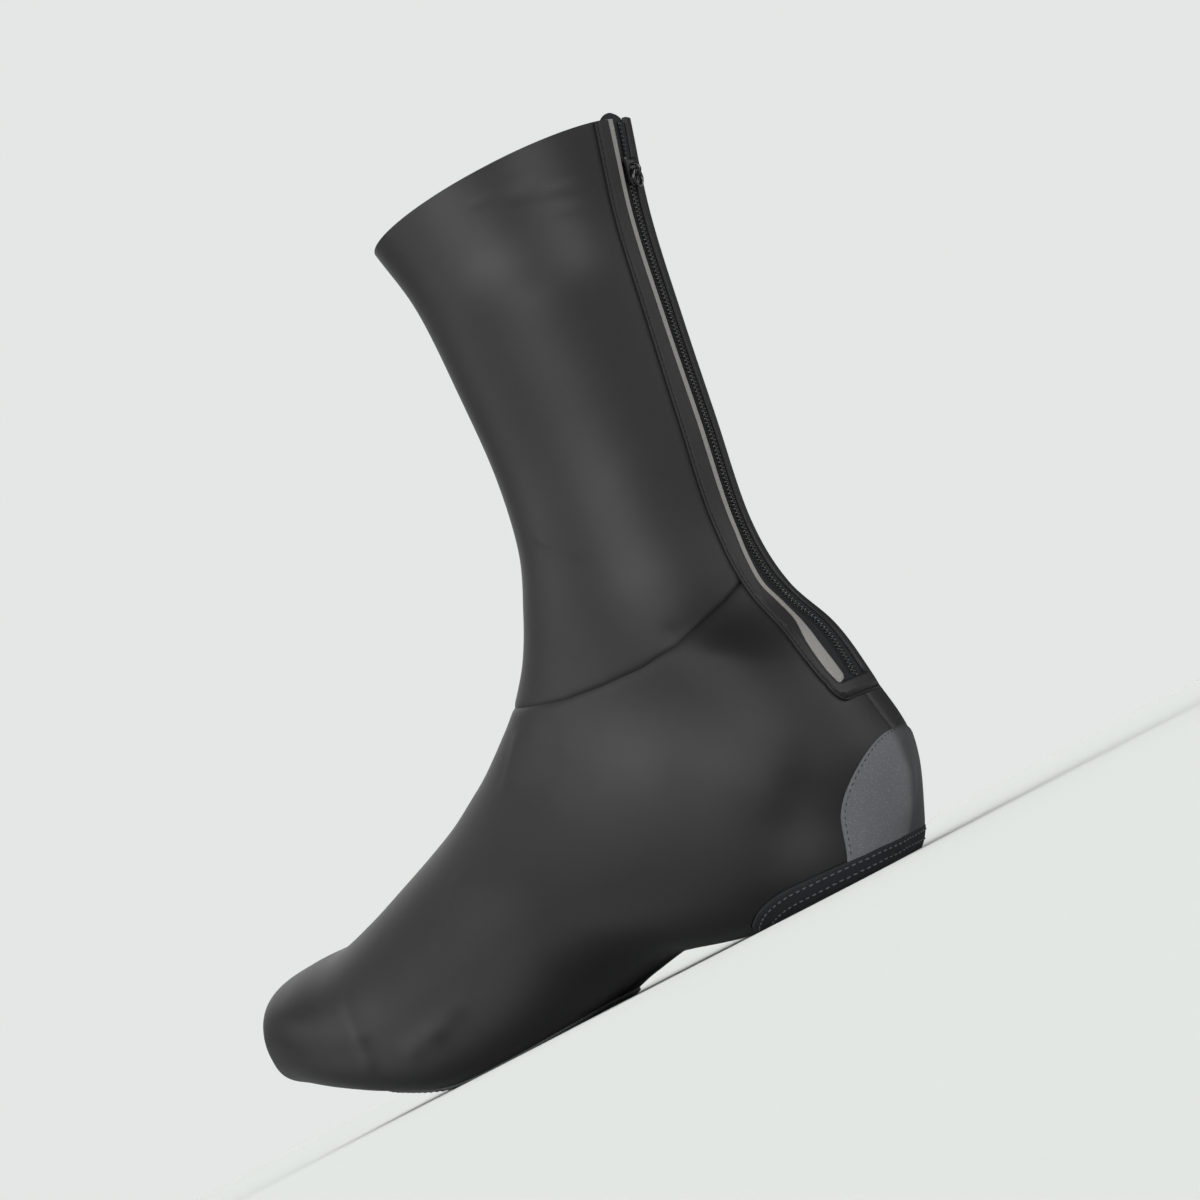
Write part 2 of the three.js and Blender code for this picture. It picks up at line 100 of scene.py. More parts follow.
def dress(shader, share, tones, surface, relief=None):
    """Gives a shader a colour that runs between two tones with share, its other surface values and,
    where relief gives a height, a strength and a depth in metres, a fine bump."""
    tree = shader.id_data
    low, high = map(linear, tones)
    tone = add_node(tree, "ShaderNodeMix", {0: share, 6: low, 7: high}, data_type="RGBA")
    set_inputs(shader, {"Base Color": tone.outputs[2], **surface})
    if relief:
        bump = add_node(tree, "ShaderNodeBump", dict(zip(("Height", "Strength", "Distance"), relief)))
        set_inputs(shader, {"Normal": bump.outputs["Normal"]})


camera_azimuth, camera_height_angle, camera_roll = map(math.radians, (212.0, -5.67, 27.44))
camera_distance = 1.1334
camera_target = Vector(packed((110.0, 0.0, 120.0)))
backwards = Vector((
    math.sin(camera_azimuth) * math.cos(camera_height_angle),
    -math.cos(camera_azimuth) * math.cos(camera_height_angle),
    math.sin(camera_height_angle),
))
level_right = Vector((0, 0, 1)).cross(backwards).normalized()
level_up = backwards.cross(level_right)
camera_right = math.cos(camera_roll) * level_right - math.sin(camera_roll) * level_up
camera_up = math.sin(camera_roll) * level_right + math.cos(camera_roll) * level_up
camera_data = bpy.data.cameras.new("studio_camera")
camera_data.sensor_width = 36
# the photo's size, focal length and middle, in its own pixels
photo_px, focal_px, middle_px = 1200, 3221, (532.1, 662.7)
camera_data.lens = camera_data.sensor_width * focal_px / photo_px
camera_data.shift_x = (photo_px / 2 - middle_px[0]) / photo_px
camera_data.shift_y = (middle_px[1] - photo_px / 2) / photo_px
camera_data.clip_start = 0.01
camera_data.clip_end = 400
camera = bpy.data.objects.new("studio_camera", camera_data)
bpy.context.collection.objects.link(camera)
camera.matrix_world = Matrix.Translation(camera_target + backwards * camera_distance) @ (
    Matrix((camera_right, camera_up, backwards)).transposed().to_4x4()
)
bpy.context.scene.camera = camera
bpy.context.scene.view_settings.view_transform = "Standard"

# Soft lights a long way off, so that the floor is lit evenly. Each is given by where it stands
# in the camera's own picture: right, up and towards the camera.
for light_name, right, up, near, strength, softness in (
    ("front_softbox", -0.17, 0.16, 0.97, 2.73, 40),
    ("front_right_softbox", 0.55, 0.46, 0.70, 2.65, 40),
    ("right_softbox", 0.81, 0.58, 0.08, 2.51, 40),
    ("key_softbox", -0.52, 0.21, 0.83, 2.49, 40),
    ("left_softbox", -0.97, -0.22, -0.08, 2.31, 40),
    ("low_left_softbox", -0.80, -0.26, 0.54, 1.20, 40),
    ("upper_front_softbox", 0.21, 0.28, 0.94, 0.96, 40),
    ("overhead_softbox", -0.77, 0.64, -0.03, 1.17, 50),
    ("left_front_softbox", -0.80, 0.27, 0.41, 0.81, 40),
    ("back_softbox", -0.30, 0.25, -0.92, 0.82, 50),
    ("rear_overhead_softbox", -0.55, 0.60, -0.55, 0.88, 60),
):
    lamp = bpy.data.lights.new(light_name, "SUN")
    lamp.energy = strength
    lamp.angle = math.radians(softness)
    stand = bpy.data.objects.new(light_name, lamp)
    bpy.context.collection.objects.link(stand)
    towards = camera_right * right + camera_up * up + backwards * near
    stand.rotation_euler = towards.to_track_quat("Z", "Y").to_euler()

room = bpy.data.worlds.new("studio_room")
bpy.context.scene.world = room
room.use_nodes = True
room.node_tree.nodes.clear()
seen = add_node(room.node_tree, "ShaderNodeBackground", {"Color": linear("#e4e7e5"), "Strength": 1.0})
lighting = add_node(room.node_tree, "ShaderNodeBackground", {"Color": linear("#e9ebec"), "Strength": 0.04})
ray = add_node(room.node_tree, "ShaderNodeLightPath")
mixed = add_node(room.node_tree, "ShaderNodeMixShader", {
    0: ray.outputs["Is Camera Ray"],
    1: lighting.outputs["Background"],
    2: seen.outputs["Background"],
})
add_node(room.node_tree, "ShaderNodeOutputWorld", {"Surface": mixed.outputs["Shader"]})

bpy.ops.mesh.primitive_grid_add(x_subdivisions=8, y_subdivisions=8, size=20)
floor = bpy.context.object
floor.name = "studio_floor"
paper, tree, shader, coords = new_material("matt_backdrop_paper")
grain = add_node(tree, "ShaderNodeTexNoise", {"Vector": coords["Object"], "Scale": 6.0, "Detail": 2.0})
dress(shader, grain.outputs["Fac"], ("#aeb1af", "#b0b3b1"), {"Roughness": 1.0, "Specular IOR Level": 0.0})
floor.data.materials.append(paper)
bpy.ops.object.select_all(action="DESELECT")

# ----------------------------------------------------------
# The outer cloth: four-way stretch fabric with a soft polyurethane coat, cut as a tall shaft and
# a foot panel and stretched over a last. Both panels are first one skin, drawn through the last's
# own rings, with the soft creases pressed into it, and are then cut out of that skin.

ball_width = 102.0
instep_height = 123.0
shaft_rise = 160.0
collar_depth = 101.0
collar_width = 90.0
cloth_thickness = 1.4

# The foot's sections from ankle to toe: front x and z, back x and z, half widths left and right and
# middle line, as shares of the three lengths above; then how far up it is widest, and how square its
# top and sole are
foot_sections = np.array([
    (0.373, 1.000, 0.009, 0.634, 0.373, 0.363, 0.000, 0.44, 2.0, 2.2),
    (0.403, 0.928, -0.002, 0.455, 0.377, 0.368, 0.000, 0.42, 2.0, 2.4),
    (0.432, 0.872, -0.009, 0.273, 0.382, 0.373, 0.000, 0.42, 2.0, 2.5),
    (0.459, 0.830, 0.020, 0.101, 0.387, 0.377, 0.000, 0.42, 2.0, 2.6),
    (0.485, 0.791, 0.067, -0.016, 0.392, 0.387, 0.000, 0.42, 2.0, 3.3),
    (0.509, 0.756, 0.147, -0.020, 0.402, 0.397, 0.000, 0.42, 2.0, 3.6),
    (0.536, 0.723, 0.243, -0.004, 0.417, 0.402, 0.000, 0.42, 2.0, 3.5),
    (0.568, 0.681, 0.358, 0.049, 0.436, 0.412, 0.000, 0.42, 2.1, 3.1),
    (0.610, 0.645, 0.468, 0.026, 0.454, 0.426, 0.000, 0.42, 2.1, 3.6),
    (0.664, 0.602, 0.568, -0.016, 0.490, 0.456, 0.000, 0.42, 2.2, 4.5),
    (0.725, 0.556, 0.665, -0.008, 0.515, 0.485, 0.000, 0.42, 2.3, 5.0),
    (0.790, 0.523, 0.750, 0.053, 0.510, 0.495, -0.005, 0.42, 2.4, 4.5),
    (0.860, 0.528, 0.832, 0.122, 0.475, 0.466, -0.029, 0.44, 2.5, 3.8),
    (0.924, 0.516, 0.905, 0.177, 0.402, 0.402, -0.074, 0.46, 2.6, 3.2),
    (0.965, 0.439, 0.962, 0.220, 0.305, 0.318, -0.108, 0.48, 2.6, 2.9),
    (0.988, 0.374, 0.988, 0.263, 0.182, 0.196, -0.127, 0.50, 2.3, 2.5),
    (1.000, 0.320, 1.000, 0.313, 0.010, 0.010, -0.137, 0.50, 2.0, 2.0),
])
foot_sections[:, [0, 2]] *= foot_length
foot_sections[:, [1, 3]] *= instep_height
foot_sections[:, [4, 5, 6]] *= ball_width
# rise of the front and of the back above the ankle ring, middle, depth, width
shaft_sections = [
    (
        middle * foot_length + depth * collar_depth / 2,
        foot_sections[0, 1] + front * shaft_rise,
        middle * foot_length - depth * collar_depth / 2,
        foot_sections[0, 3] + back * shaft_rise,
        width * collar_width / 2, width * collar_width / 2, 0.0, 0.5, 2.0, 2.0,
    )
    for front, back, middle, depth, width in (
        (0.903, 1.158, 0.112, 1.000, 1.000),
        (0.749, 0.963, 0.122, 0.858, 0.922),
        (0.545, 0.744, 0.137, 0.803, 0.833),
        (0.359, 0.518, 0.153, 0.766, 0.767),
        (0.199, 0.293, 0.174, 0.756, 0.778),
        (0.083, 0.131, 0.188, 0.872, 0.811),
    )
]
sections = np.vstack([shaft_sections, foot_sections])
collar_back = sections[0, 3]


def between(rows, place):
    """Rows of a table at fractional places, on a smooth run through the neighbouring rows."""
    wide = np.vstack([2 * rows[0] - rows[1], rows, 2 * rows[-1] - rows[-2]])
    i = np.clip(np.floor(place).astype(int), 0, len(rows) - 2)
    t = (np.asarray(place) - i)[:, None]
    a, b, c, d = wide[i], wide[i + 1], wide[i + 2], wide[i + 3]
    return 0.5 * (2 * b + (c - a) * t + (2 * a - 5 * b + 4 * c - d) * t**2 + (3 * b - a - 3 * c + d) * t**3)


def last_points(place, angle):
    """Points of the last in mm. place counts sections from the collar; angle is 0 at the front or top
    and grows over the outer side to half a turn at the back or sole."""
    row = between(sections, np.atleast_1d(place))[:, None, :]
    front_x, front_z, back_x, back_z, left, right, middle, widest, top, sole = np.moveaxis(row, 2, 0)
    c, s = np.cos(angle)[None, :], np.sin(angle)[None, :]
    power = 2 / np.where(c > 0, top, sole)
    along = np.sign(c) * np.abs(c) ** power
    share = np.where(along > 0, widest + (1 - widest) * along, widest * (1 + along))
    side = np.abs(s) ** power * np.where(s > 0, left, -right) + middle
    return np.stack([
        back_x + (front_x - back_x) * share,
        side + 0 * share,
        back_z + (front_z - back_z) * share,
    ], -1)


def run_along(points):
    """How far along a polyline each of its points lies."""
    return np.concatenate([[0], np.cumsum(np.linalg.norm(np.diff(points, axis=0), axis=1))])


def even_steps(points, count):
    """count + 1 points at equal steps along a polyline."""
    run = run_along(points)
    steps = np.linspace(0, run[-1], count + 1)
    return np.stack([np.interp(steps, run, column) for column in points.T], -1)


thread_step = 1.9
places = [0.0]
for i, (above, below) in enumerate(zip(sections[:-1], sections[1:])):
    gap = max(np.hypot(*(below - above)[:2]), np.hypot(*(below - above)[2:4]))
    places += list(i + np.arange(1, math.ceil(gap / thread_step) + 1) / math.ceil(gap / thread_step))
half_round = np.pi * (1 - np.cos(np.linspace(0, np.pi, 1201))) / 2
points_half_way = 80
skin_rings = []
for place in places:
    outer_side = even_steps(last_points(place, half_round)[0], points_half_way)
    inner_side = even_steps(last_points(place, -half_round)[0], points_half_way)
    skin_rings.append(np.vstack([outer_side, inner_side[-2:0:-1]]))
skin = np.array(skin_rings)
skin[..., 2] = np.maximum(skin[..., 2], 0.0)


def grid_normals(grid, closed=True):
    """Outward unit normals of a grid of points whose second index runs round the shoe."""
    down = np.gradient(grid, axis=0)
    if closed:
        turn = np.roll(grid, -1, axis=1) - np.roll(grid, 1, axis=1)
    else:
        turn = np.gradient(grid, axis=1)
    normal = np.cross(down, turn)
    size = np.linalg.norm(normal, axis=-1, keepdims=True)
    return normal / np.maximum(size, 1e-9)


# Soft creases: from and to in mm, half width, and height (below zero it is a trough)
creases = [
    # the hollow behind the ankle with its sharper lower lip
    ((21, 27, 95), (12, 22, 84), 9, -0.8),
    ((25, 33, 87), (14, 27, 78), 4, 0.4),
    # the long dent down the outer side of the heel
    ((15, 31, 43), (22, 34, 34), 8, -0.6),
    ((22, 34, 34), (30, 36, 25), 8, -0.5),
    ((30, 36, 25), (35, 37, 16), 8, -0.5),
    ((55, 39, 64), (33, 37, 40), 12, 1.2),
    # small pull marks above the ankle
    ((36, 35, 101), (35, 35, 102), 1.6, 0.4),
    ((66, 31, 152), (53, 35, 140), 1.8, 0.4),
    # wrinkles below the collar
    ((22, 42, 256), (3, 33, 252), 1.3, 0.25),
    ((10, 38, 251), (-5, 24, 246), 1.3, 0.25),
    ((2, 29, 241), (-3, 21, 239), 1.2, 0.2),
    ((40, 40, 243), (55, 36, 240), 1.3, 0.2),
    ((13, 39, 262), (20, 38, 225), 8, -0.5),
    ((24, 37, 150), (22, 30, 120), 9, 0.5),
    # folds over the toes and along the foot
    ((213, 49, 46), (212, 52, 32), 3, 0.5),
    ((212, 52, 32), (214, 52, 22), 3, 0.5),
    ((171, 50, 25), (182, 51, 21), 4, 0.6),
    ((182, 51, 21), (194, 52, 19), 4, 0.6),
    ((154, 39, 63), (167, 46, 48), 4, 0.5),
    ((117, 21, 97), (129, 25, 85), 2.5, 0.5),
    ((100, 30, 89), (107, 31, 81), 8, -0.8),
    # the ridge down the middle of the heel, under the patch
    ((-0.5, -3, 36), (2, 1, 24), 5, 1.3),
    ((2, 1, 24), (5, 5, 15), 5, 1.0),
    ((5, 5, 15), (10, 7, 7), 5, 0.8),
    ((2, 15, 52), (2, 15, 43), 1.8, -0.4),
    ((7, 24, 44), (4, 20, 40), 1.8, 0.3),
]


def crease_height(points, strokes=None):
    """The sum of strokes at each point: how far the creases lift or press the cloth, in mm, unless
    other strokes are given."""
    total = np.zeros(points.shape[:-1])
    for start, end, half_width, height in strokes or creases:
        start, end = np.array(start, float), np.array(end, float)
        run = end - start
        t = np.clip(((points - start) @ run) / (run @ run), 0, 1)
        away = np.linalg.norm(points - start - t[..., None] * run, axis=-1)
        total += height * np.exp(-((away / half_width) ** 2))
    return total


skin += grid_normals(skin) * crease_height(skin)[..., None]


def collar_lift(points):
    """How far the far half of the back springs up at the collar, where the zip is open, in mm."""
    x, y, z = points[..., 0], points[..., 1], points[..., 2]
    near_top = np.clip((z - 228) / 35, 0, 1) ** 2
    far_half = np.clip((-2 - y) / 5, 0, 1) ** 2 * np.clip((70 - x) / 50, 0, 1)
    inner_side = np.clip(x / 12, 0, 1)
    return near_top * (1.2 + 4.0 * inner_side) * far_half


skin[..., 2] += collar_lift(skin)
skin[..., 2] = np.maximum(skin[..., 2], 0.0)
ring_count, ring_points = skin.shape[:2]
skin_normals = grid_normals(skin).reshape(-1, 3)
skin_flat = skin.reshape(-1, 3)
skin_triangles = []
for i in range(0, (ring_count - 1) * ring_points, ring_points):
    for j in range(ring_points):
        k = (j + 1) % ring_points
        a, b, c, d = i + j, i + j + ring_points, i + k + ring_points, i + k
        skin_triangles += [(a, b, c), (a, c, d)]
skin_tree = BVHTree.FromPolygons([tuple(p) for p in skin_flat], skin_triangles)


def skin_hit(hit, face):
    """A point on the skin and its smooth outward normal, as arrays."""
    corners = skin_triangles[face]
    a, b, c = (skin_flat[k] for k in corners)
    p = np.array(hit)
    whole = np.linalg.norm(np.cross(b - a, c - a)) + 1e-12
    shares = [np.linalg.norm(np.cross(q - p, r - p)) / whole for q, r in ((b, c), (c, a), (a, b))]
    normal = sum(share * skin_normals[k] for share, k in zip(shares, corners))
    return p, normal / np.linalg.norm(normal)


def seen_from(origin, direction):
    """The first point of the skin met from origin along direction."""
    hit, _, face, _ = skin_tree.ray_cast(Vector(origin), Vector(direction))
    if hit is None:
        hit, _, face, _ = skin_tree.find_nearest(Vector(origin))
    return skin_hit(hit, face)


def from_behind(y, z):
    """The skin at a width and height, seen from behind."""
    return seen_from((-80.0, y, z), (1, 0, 0))


def from_below(x, y):
    """The skin at a place in plan, seen from below."""
    return seen_from((x, y, -40.0), (0, 0, 1))


def nearest_skin(point):
    """The nearest point of the skin."""
    hit, _, face, _ = skin_tree.find_nearest(Vector(point))
    return skin_hit(hit, face)


def raised(spot, out):
    """A spot on the skin moved out by a distance in mm, and kept on the floor."""
    point = spot[0] + spot[1] * out
    return np.array([point[0], point[1], max(point[2], -out if out < 0 else 0.0)])


def draped_grid(name, grid, closed=False):
    """A plane primitive with as many faces as the grid has, laid over its points (mm). UV is in mm."""
    grid = np.asarray(grid, float)
    rows, columns = grid.shape[:2]
    bpy.ops.mesh.primitive_grid_add(x_subdivisions=columns - 1, y_subdivisions=rows - 1, size=2)
    piece = bpy.context.object
    piece.name = piece.data.name = name
    piece.location = (0, 0, 0)
    piece.data.vertices.foreach_set("co", packed(grid).reshape(-1))
    along = np.concatenate([[0], np.cumsum(np.linalg.norm(np.diff(grid, axis=0), axis=2).mean(1))])
    across = np.concatenate([[0], np.cumsum(np.linalg.norm(np.diff(grid, axis=1), axis=2).mean(0))])
    uv = np.stack(np.meshgrid(across, along), -1).reshape(-1, 2)
    loops = np.empty(len(piece.data.loops), int)
    piece.data.loops.foreach_get("vertex_index", loops)
    piece.data.uv_layers[0].data.foreach_set("uv", uv[loops].reshape(-1))
    middle = piece.data.polygons[len(piece.data.polygons) // 2]
    _, outwards = nearest_skin((np.array(middle.center) - shoe_zero) * 1000)
    if middle.normal @ Vector(outwards) < 0:
        piece.data.flip_normals()
    if closed:
        edit(piece, lambda bm: bmesh.ops.remove_doubles(bm, verts=bm.verts, dist=1e-6))
    bpy.ops.object.select_all(action="DESELECT")
    return piece


def edit(piece, change):
    """Changes a piece's mesh through bmesh."""
    bm = bmesh.new()
    bm.from_mesh(piece.data)
    change(bm)
    bm.to_mesh(piece.data)
    bm.free()
    piece.data.update()


def apply_modifier(piece, kind, **settings):
    """Adds a modifier, sets it and applies it at once."""
    modifier = piece.modifiers.new(kind.lower(), kind)
    for name, value in settings.items():
        setattr(modifier, name, value)
    bpy.context.view_layer.objects.active = piece
    piece.select_set(True)
    bpy.ops.object.modifier_apply(modifier=modifier.name)
    piece.select_set(False)


def point_outwards(piece):
    """Faces all turned outwards; for closed pieces."""
    edit(piece, lambda bm: bmesh.ops.recalc_face_normals(bm, faces=bm.faces))


def smooth(piece, degrees=40):
    """Smooth shading, with edges sharper than this left crisp."""
    bpy.context.view_layer.objects.active = piece
    piece.select_set(True)
    bpy.ops.object.shade_smooth_by_angle(angle=math.radians(degrees))
    piece.select_set(False)


def cut_along(bm, height, drop=True):
    """Cuts a mesh where height(points in mm) passes zero, and drops what is below zero."""
    bm.verts.ensure_lookup_table()
    bm.verts.index_update()
    points = (np.array([v.co for v in bm.verts]) - shoe_zero) * 1000
    value = height(points)
    step = 0.05
    slope = np.stack([(height(points + step * axis) - value) / step for axis in np.eye(3)], -1)
    steepness = np.linalg.norm(slope, axis=1)
    near = (np.abs(value) < 0.35 * steepness) & (steepness > 1e-3)
    for i in np.nonzero(near)[0]:
        move = -value[i] * slope[i] / steepness[i] ** 2
        normal = np.array(bm.verts[i].normal)
        move -= normal * (move @ normal)
        bm.verts[i].co += Vector(move / 1000)
        value[i] = 0.0
    on_line = {bm.verts[i] for i in np.nonzero(near)[0]}
    state = {v: value[v.index] for v in bm.verts}
    crossing = [e for e in bm.edges if state[e.verts[0]] * state[e.verts[1]] < 0]
    for edge in crossing:
        a, b = edge.verts
        share = state[a] / (state[a] - state[b])
        _, made = bmesh.utils.edge_split(edge, a, share)
        state[made] = 0.0
        on_line.add(made)
    faces = {face for v in on_line for face in v.link_faces}
    for face in faces:
        marked = [v for v in face.verts if v in on_line]
        if len(marked) != 2:
            continue
        a, b = marked
        if not any(b in e.verts for e in a.link_edges if e in face.edges):
            bmesh.utils.face_split(face, a, b)
    if drop:
        gone = [f for f in bm.faces if sum(state[v] for v in f.verts) < 0]
        bmesh.ops.delete(bm, geom=gone, context="FACES")


def oval_distance(points, back, front, half_width, squareness=2.5):
    """Rough distance in mm outside a squarish oval in plan, below zero inside it."""
    middle, half = (back + front) / 2, (front - back) / 2
    x, y = np.abs(points[..., 0] - middle) / half, np.abs(points[..., 1]) / half_width
    return ((x**squareness + y**squareness) ** (1 / squareness) - 1) * min(half, half_width)


# The seam between the panels, seen from the side, as shares of the foot length and instep height
ankle_seam = np.array([
    (0.038, 0.880), (0.065, 0.833), (0.121, 0.782), (0.170, 0.774), (0.234, 0.788),
    (0.298, 0.812), (0.398, 0.874), (0.447, 0.905),
]) * (foot_length, instep_height)
seam_ends = np.vstack([[-40.0, 150.0], ankle_seam, [220.0, 135.0]])


def above_seam(points):
    """Height in mm above the ankle seam."""
    return points[..., 2] - np.interp(points[..., 0], seam_ends[:, 0], seam_ends[:, 1])


# The zip's run up the back: height in mm, middle line, then how far from it the pale strip's edge,
# the near (outer side) fold, the near sewn line, the far fold and the far sewn line lie
zip_run = np.array([
    (50.0, 0.0, 7.0, 11.5, 14.5, 7.0, 13.0),
    (62.0, 0.0, 6.6, 12.4, 16.6, 7.0, 13.0),
    (66.0, -0.5, 7.2, 13.8, 17.8, 6.6, 12.8),
    (73.0, -1.3, 8.4, 14.6, 18.8, 6.2, 12.6),
    (79.0, -1.6, 8.2, 13.6, 18.4, 6.4, 12.6),
    (87.0, -2.0, 7.0, 10.2, 17.0, 7.0, 12.8),
    (95.0, -1.5, 5.6, 8.6, 15.4, 6.8, 12.8),
    (102.0, -0.5, 5.8, 8.4, 14.0, 5.8, 12.6),
    (111.0, -0.8, 5.0, 7.6, 13.8, 4.9, 12.2),
    (123.0, -1.9, 4.2, 7.0, 14.2, 4.2, 11.8),
    (150.0, -2.1, 4.1, 7.1, 14.4, 4.1, 11.6),
    (200.0, -2.1, 4.1, 7.1, 13.6, 4.1, 11.6),
    (245.0, -2.1, 4.1, 7.1, 13.6, 4.3, 11.4),
    (263.3, -2.1, 4.2, 7.5, 13.8, 6.6, 12.6),
    (280.0, -2.1, 4.2, 7.5, 13.8, 7.6, 12.8),
])
middle_line, strip_edge, near_fold, near_sewn, far_fold, far_sewn = range(1, 7)
near, far = 1, -1
box_low, zip_low = 54.0, 60.5
slit_low = collar_back - 17.0


def zip_place(z, column):
    """One column of the zip's run at a height (or at several)."""
    place = np.interp(np.atleast_1d(z), zip_run[:, 0], np.arange(len(zip_run)))
    found = between(zip_run, place)[:, column]
    return found if np.ndim(z) else float(found[0])


def zip_y(z, side, column):
    """Where a line of the zip's run lies across the back, on the near side or the far one."""
    return zip_place(z, middle_line) + side * zip_place(z, column)


def outside_slot(points):
    """Above zero outside the slot that the zip closes."""
    x, y, z = points[..., 0], points[..., 1], points[..., 2]
    flat = np.ravel(z)
    near_side = y - zip_y(flat, near, near_fold).reshape(z.shape) - 1
    far_side = zip_y(flat, far, far_fold).reshape(z.shape) - 2.5 - y
    return np.maximum.reduce([near_side, far_side, zip_low - z, x - 50])


heel_hole = dict(back=19.4, front=57.9, half_width=24.5)
cleat_hole = dict(back=143.0, front=240.0, half_width=42.5)
# the heel binding's upper edge, seen from the side
heel_band_top = np.array([
    (-291.0, 7.0), (10.0, 7.0), (26.8, 8.05), (42.8, 8.75),
    (50.8, 7.49), (57.5, 5.25), (66.9, 0.0), (400.0, -50.0),
])


def outside_heel_band(points):
    """Above zero outside the zone that the heel binding covers."""
    above = points[..., 2] - np.interp(points[..., 0], heel_band_top[:, 0], heel_band_top[:, 1])
    return np.maximum(above, oval_distance(points, -28.95, 66.9, 51.0, 3))


def outside_cleat_oval(points):
    """Above zero outside the cleat opening, and everywhere on the upper side of the foot."""
    return np.where(points[..., 2] > 20, 50.0, oval_distance(points, **cleat_hole))


# Painted highlight and painted shade: places where the coat's shine is raised (above zero) or lowered to stand
# in for light and shade: from and to in mm, half width, share
painted_sheen_spots = [
    ((30, 43, 264), (30, 41, 240), 11, 1.15),
    ((1, 30, 262), (5, 27, 228), 9, 1.2),
    ((27, 38, 232), (38, 34, 125), 11, 0.65),
    ((46, 39, 54), (69, 38, 74), 18, 0.6),
    ((50, 39, 20), (120, 40, 42), 16, -0.3),
    ((100, 37, 10), (130, 43, 18), 10, -0.3),
    ((238, 45, 49), (252, 42, 45), 14, -0.3),
    ((194, 52, 23), (205, 52, 30), 12, 0.3),
    ((14, 25, 84), (24, 26, 99), 12, -0.4),
    ((14, 32, 45), (16, 33, 30), 10, -0.25),
]

# The coat: matt polyurethane film on knitted cloth, with a fine leathery grain and a broad dull
# shine. Along a seam the "seam" attribute darkens it, where the two edges dip and hold the shade.
coated_cloth, tree, shader, coords = new_material("polyurethane_coated_cloth")
cloud = add_node(tree, "ShaderNodeTexNoise", {"Vector": coords["Object"], "Scale": 28.0, "Detail": 3.0})
seam_mark = add_node(tree, "ShaderNodeAttribute", attribute_name="seam")
tone = add_node(tree, "ShaderNodeMix", {
    0: cloud.outputs["Fac"],
    6: linear("#090909"),
    7: linear("#0c0c0c"),
}, data_type="RGBA")
shaded = add_node(tree, "ShaderNodeMix", {
    0: seam_mark.outputs["Fac"],
    6: tone.outputs[2],
    7: linear("#020202"),
}, data_type="RGBA")
# the real grain is about 0.2 mm and is drawn at 0.5 mm so that it shows
leather = add_node(tree, "ShaderNodeTexVoronoi", {"Vector": coords["Object"], "Scale": 1 / 0.0007})
fine = add_node(tree, "ShaderNodeTexNoise", {
    "Vector": coords["Object"],
    "Scale": 1 / 0.0005,
    "Detail": 3.0,
    "Roughness": 0.6,
})
relief = add_node(tree, "ShaderNodeMath", {
    0: leather.outputs["Distance"],
    1: fine.outputs["Fac"],
}, operation="ADD")
bump = add_node(tree, "ShaderNodeBump", {"Height": relief.outputs[0], "Strength": 0.22, "Distance": 0.00006})
waves = add_node(tree, "ShaderNodeTexNoise", {"Vector": coords["Object"], "Scale": 55.0, "Detail": 2.0})
wavy = add_node(tree, "ShaderNodeBump", {
    "Height": waves.outputs["Fac"],
    "Strength": 0.25,
    "Distance": 0.0006,
    "Normal": bump.outputs["Normal"],
})
gloss = add_node(tree, "ShaderNodeMapRange", {"Value": cloud.outputs["Fac"], "To Min": 0.50, "To Max": 0.60})
# painted highlight and painted shade: this attribute raises or lowers the coat's shine by place
painted_sheen = add_node(tree, "ShaderNodeAttribute", attribute_name="painted_sheen")
shine = add_node(tree, "ShaderNodeMath", {
    0: painted_sheen.outputs["Fac"],
    1: 0.15,
    2: 0.15,
}, operation="MULTIPLY_ADD")
set_inputs(shader, {
    "Base Color": shaded.outputs[2],
    "Normal": wavy.outputs["Normal"],
    "Roughness": gloss.outputs["Result"],
    "Specular IOR Level": shine.outputs[0],
})

# The inner face: brushed grey knit, speckled where its loops catch the light.
lining, tree, shader, coords = new_material("brushed_grey_knit")
speck = add_node(tree, "ShaderNodeTexVoronoi", {"Vector": coords["Object"], "Scale": 1 / 0.0011})
ramp = add_node(tree, "ShaderNodeMapRange", {
    "Value": speck.outputs["Distance"],
    "From Min": 0.15,
    "From Max": 0.5,
})
dress(
    shader, ramp.outputs["Result"], ("#8a8984", "#353534"), {"Roughness": 0.8, "Sheen Weight": 0.3},
    (speck.outputs["Distance"], 0.6, 0.0003),
)

# The shaft's inner face: the same knit, darkened as painted shade for the dark inside of the shaft.
lining_in_painted_shade, tree, shader, coords = new_material("brushed_knit_darkened_as_shade")
speck = add_node(tree, "ShaderNodeTexVoronoi", {"Vector": coords["Object"], "Scale": 1 / 0.0011})
dress(
    shader, speck.outputs["Distance"], ("#151516", "#0a0a0a"), {"Roughness": 0.9, "Specular IOR Level": 0.2},
)

# The cut edge of the cloth: coat, knit and brushed back seen from the side.
cut_edge, tree, shader, coords = new_material("cut_cloth_edge")
fibre = add_node(tree, "ShaderNodeTexNoise", {"Vector": coords["Object"], "Scale": 1 / 0.0006, "Detail": 2.0})
dress(shader, fibre.outputs["Fac"], ("#0c0c0c", "#1a1a1a"), {"Roughness": 0.85})

# Fine lines sewn from the inside, as a run of points: along the middle of the sole between the two
# openings, and up the back from the patch to the zip's end box.
sole_seam_run = [from_below(x, 0.0)[0] for x in np.linspace(60, 146, 44)]
back_seam_run = [from_behind(0.0, z)[0] for z in np.linspace(30, 58, 15)]


def seam_distance(points):
    """Distance in mm from the nearest fine seam, the ankle seam among them."""
    found = np.abs(above_seam(points))
    for run in (sole_seam_run, back_seam_run):
        for a, b in zip(run[:-1], run[1:]):
            t = np.clip(((points - a) @ (b - a)) / ((b - a) @ (b - a)), 0, 1)
            found = np.minimum(found, np.linalg.norm(points - a - t[..., None] * (b - a), axis=-1))
    return found


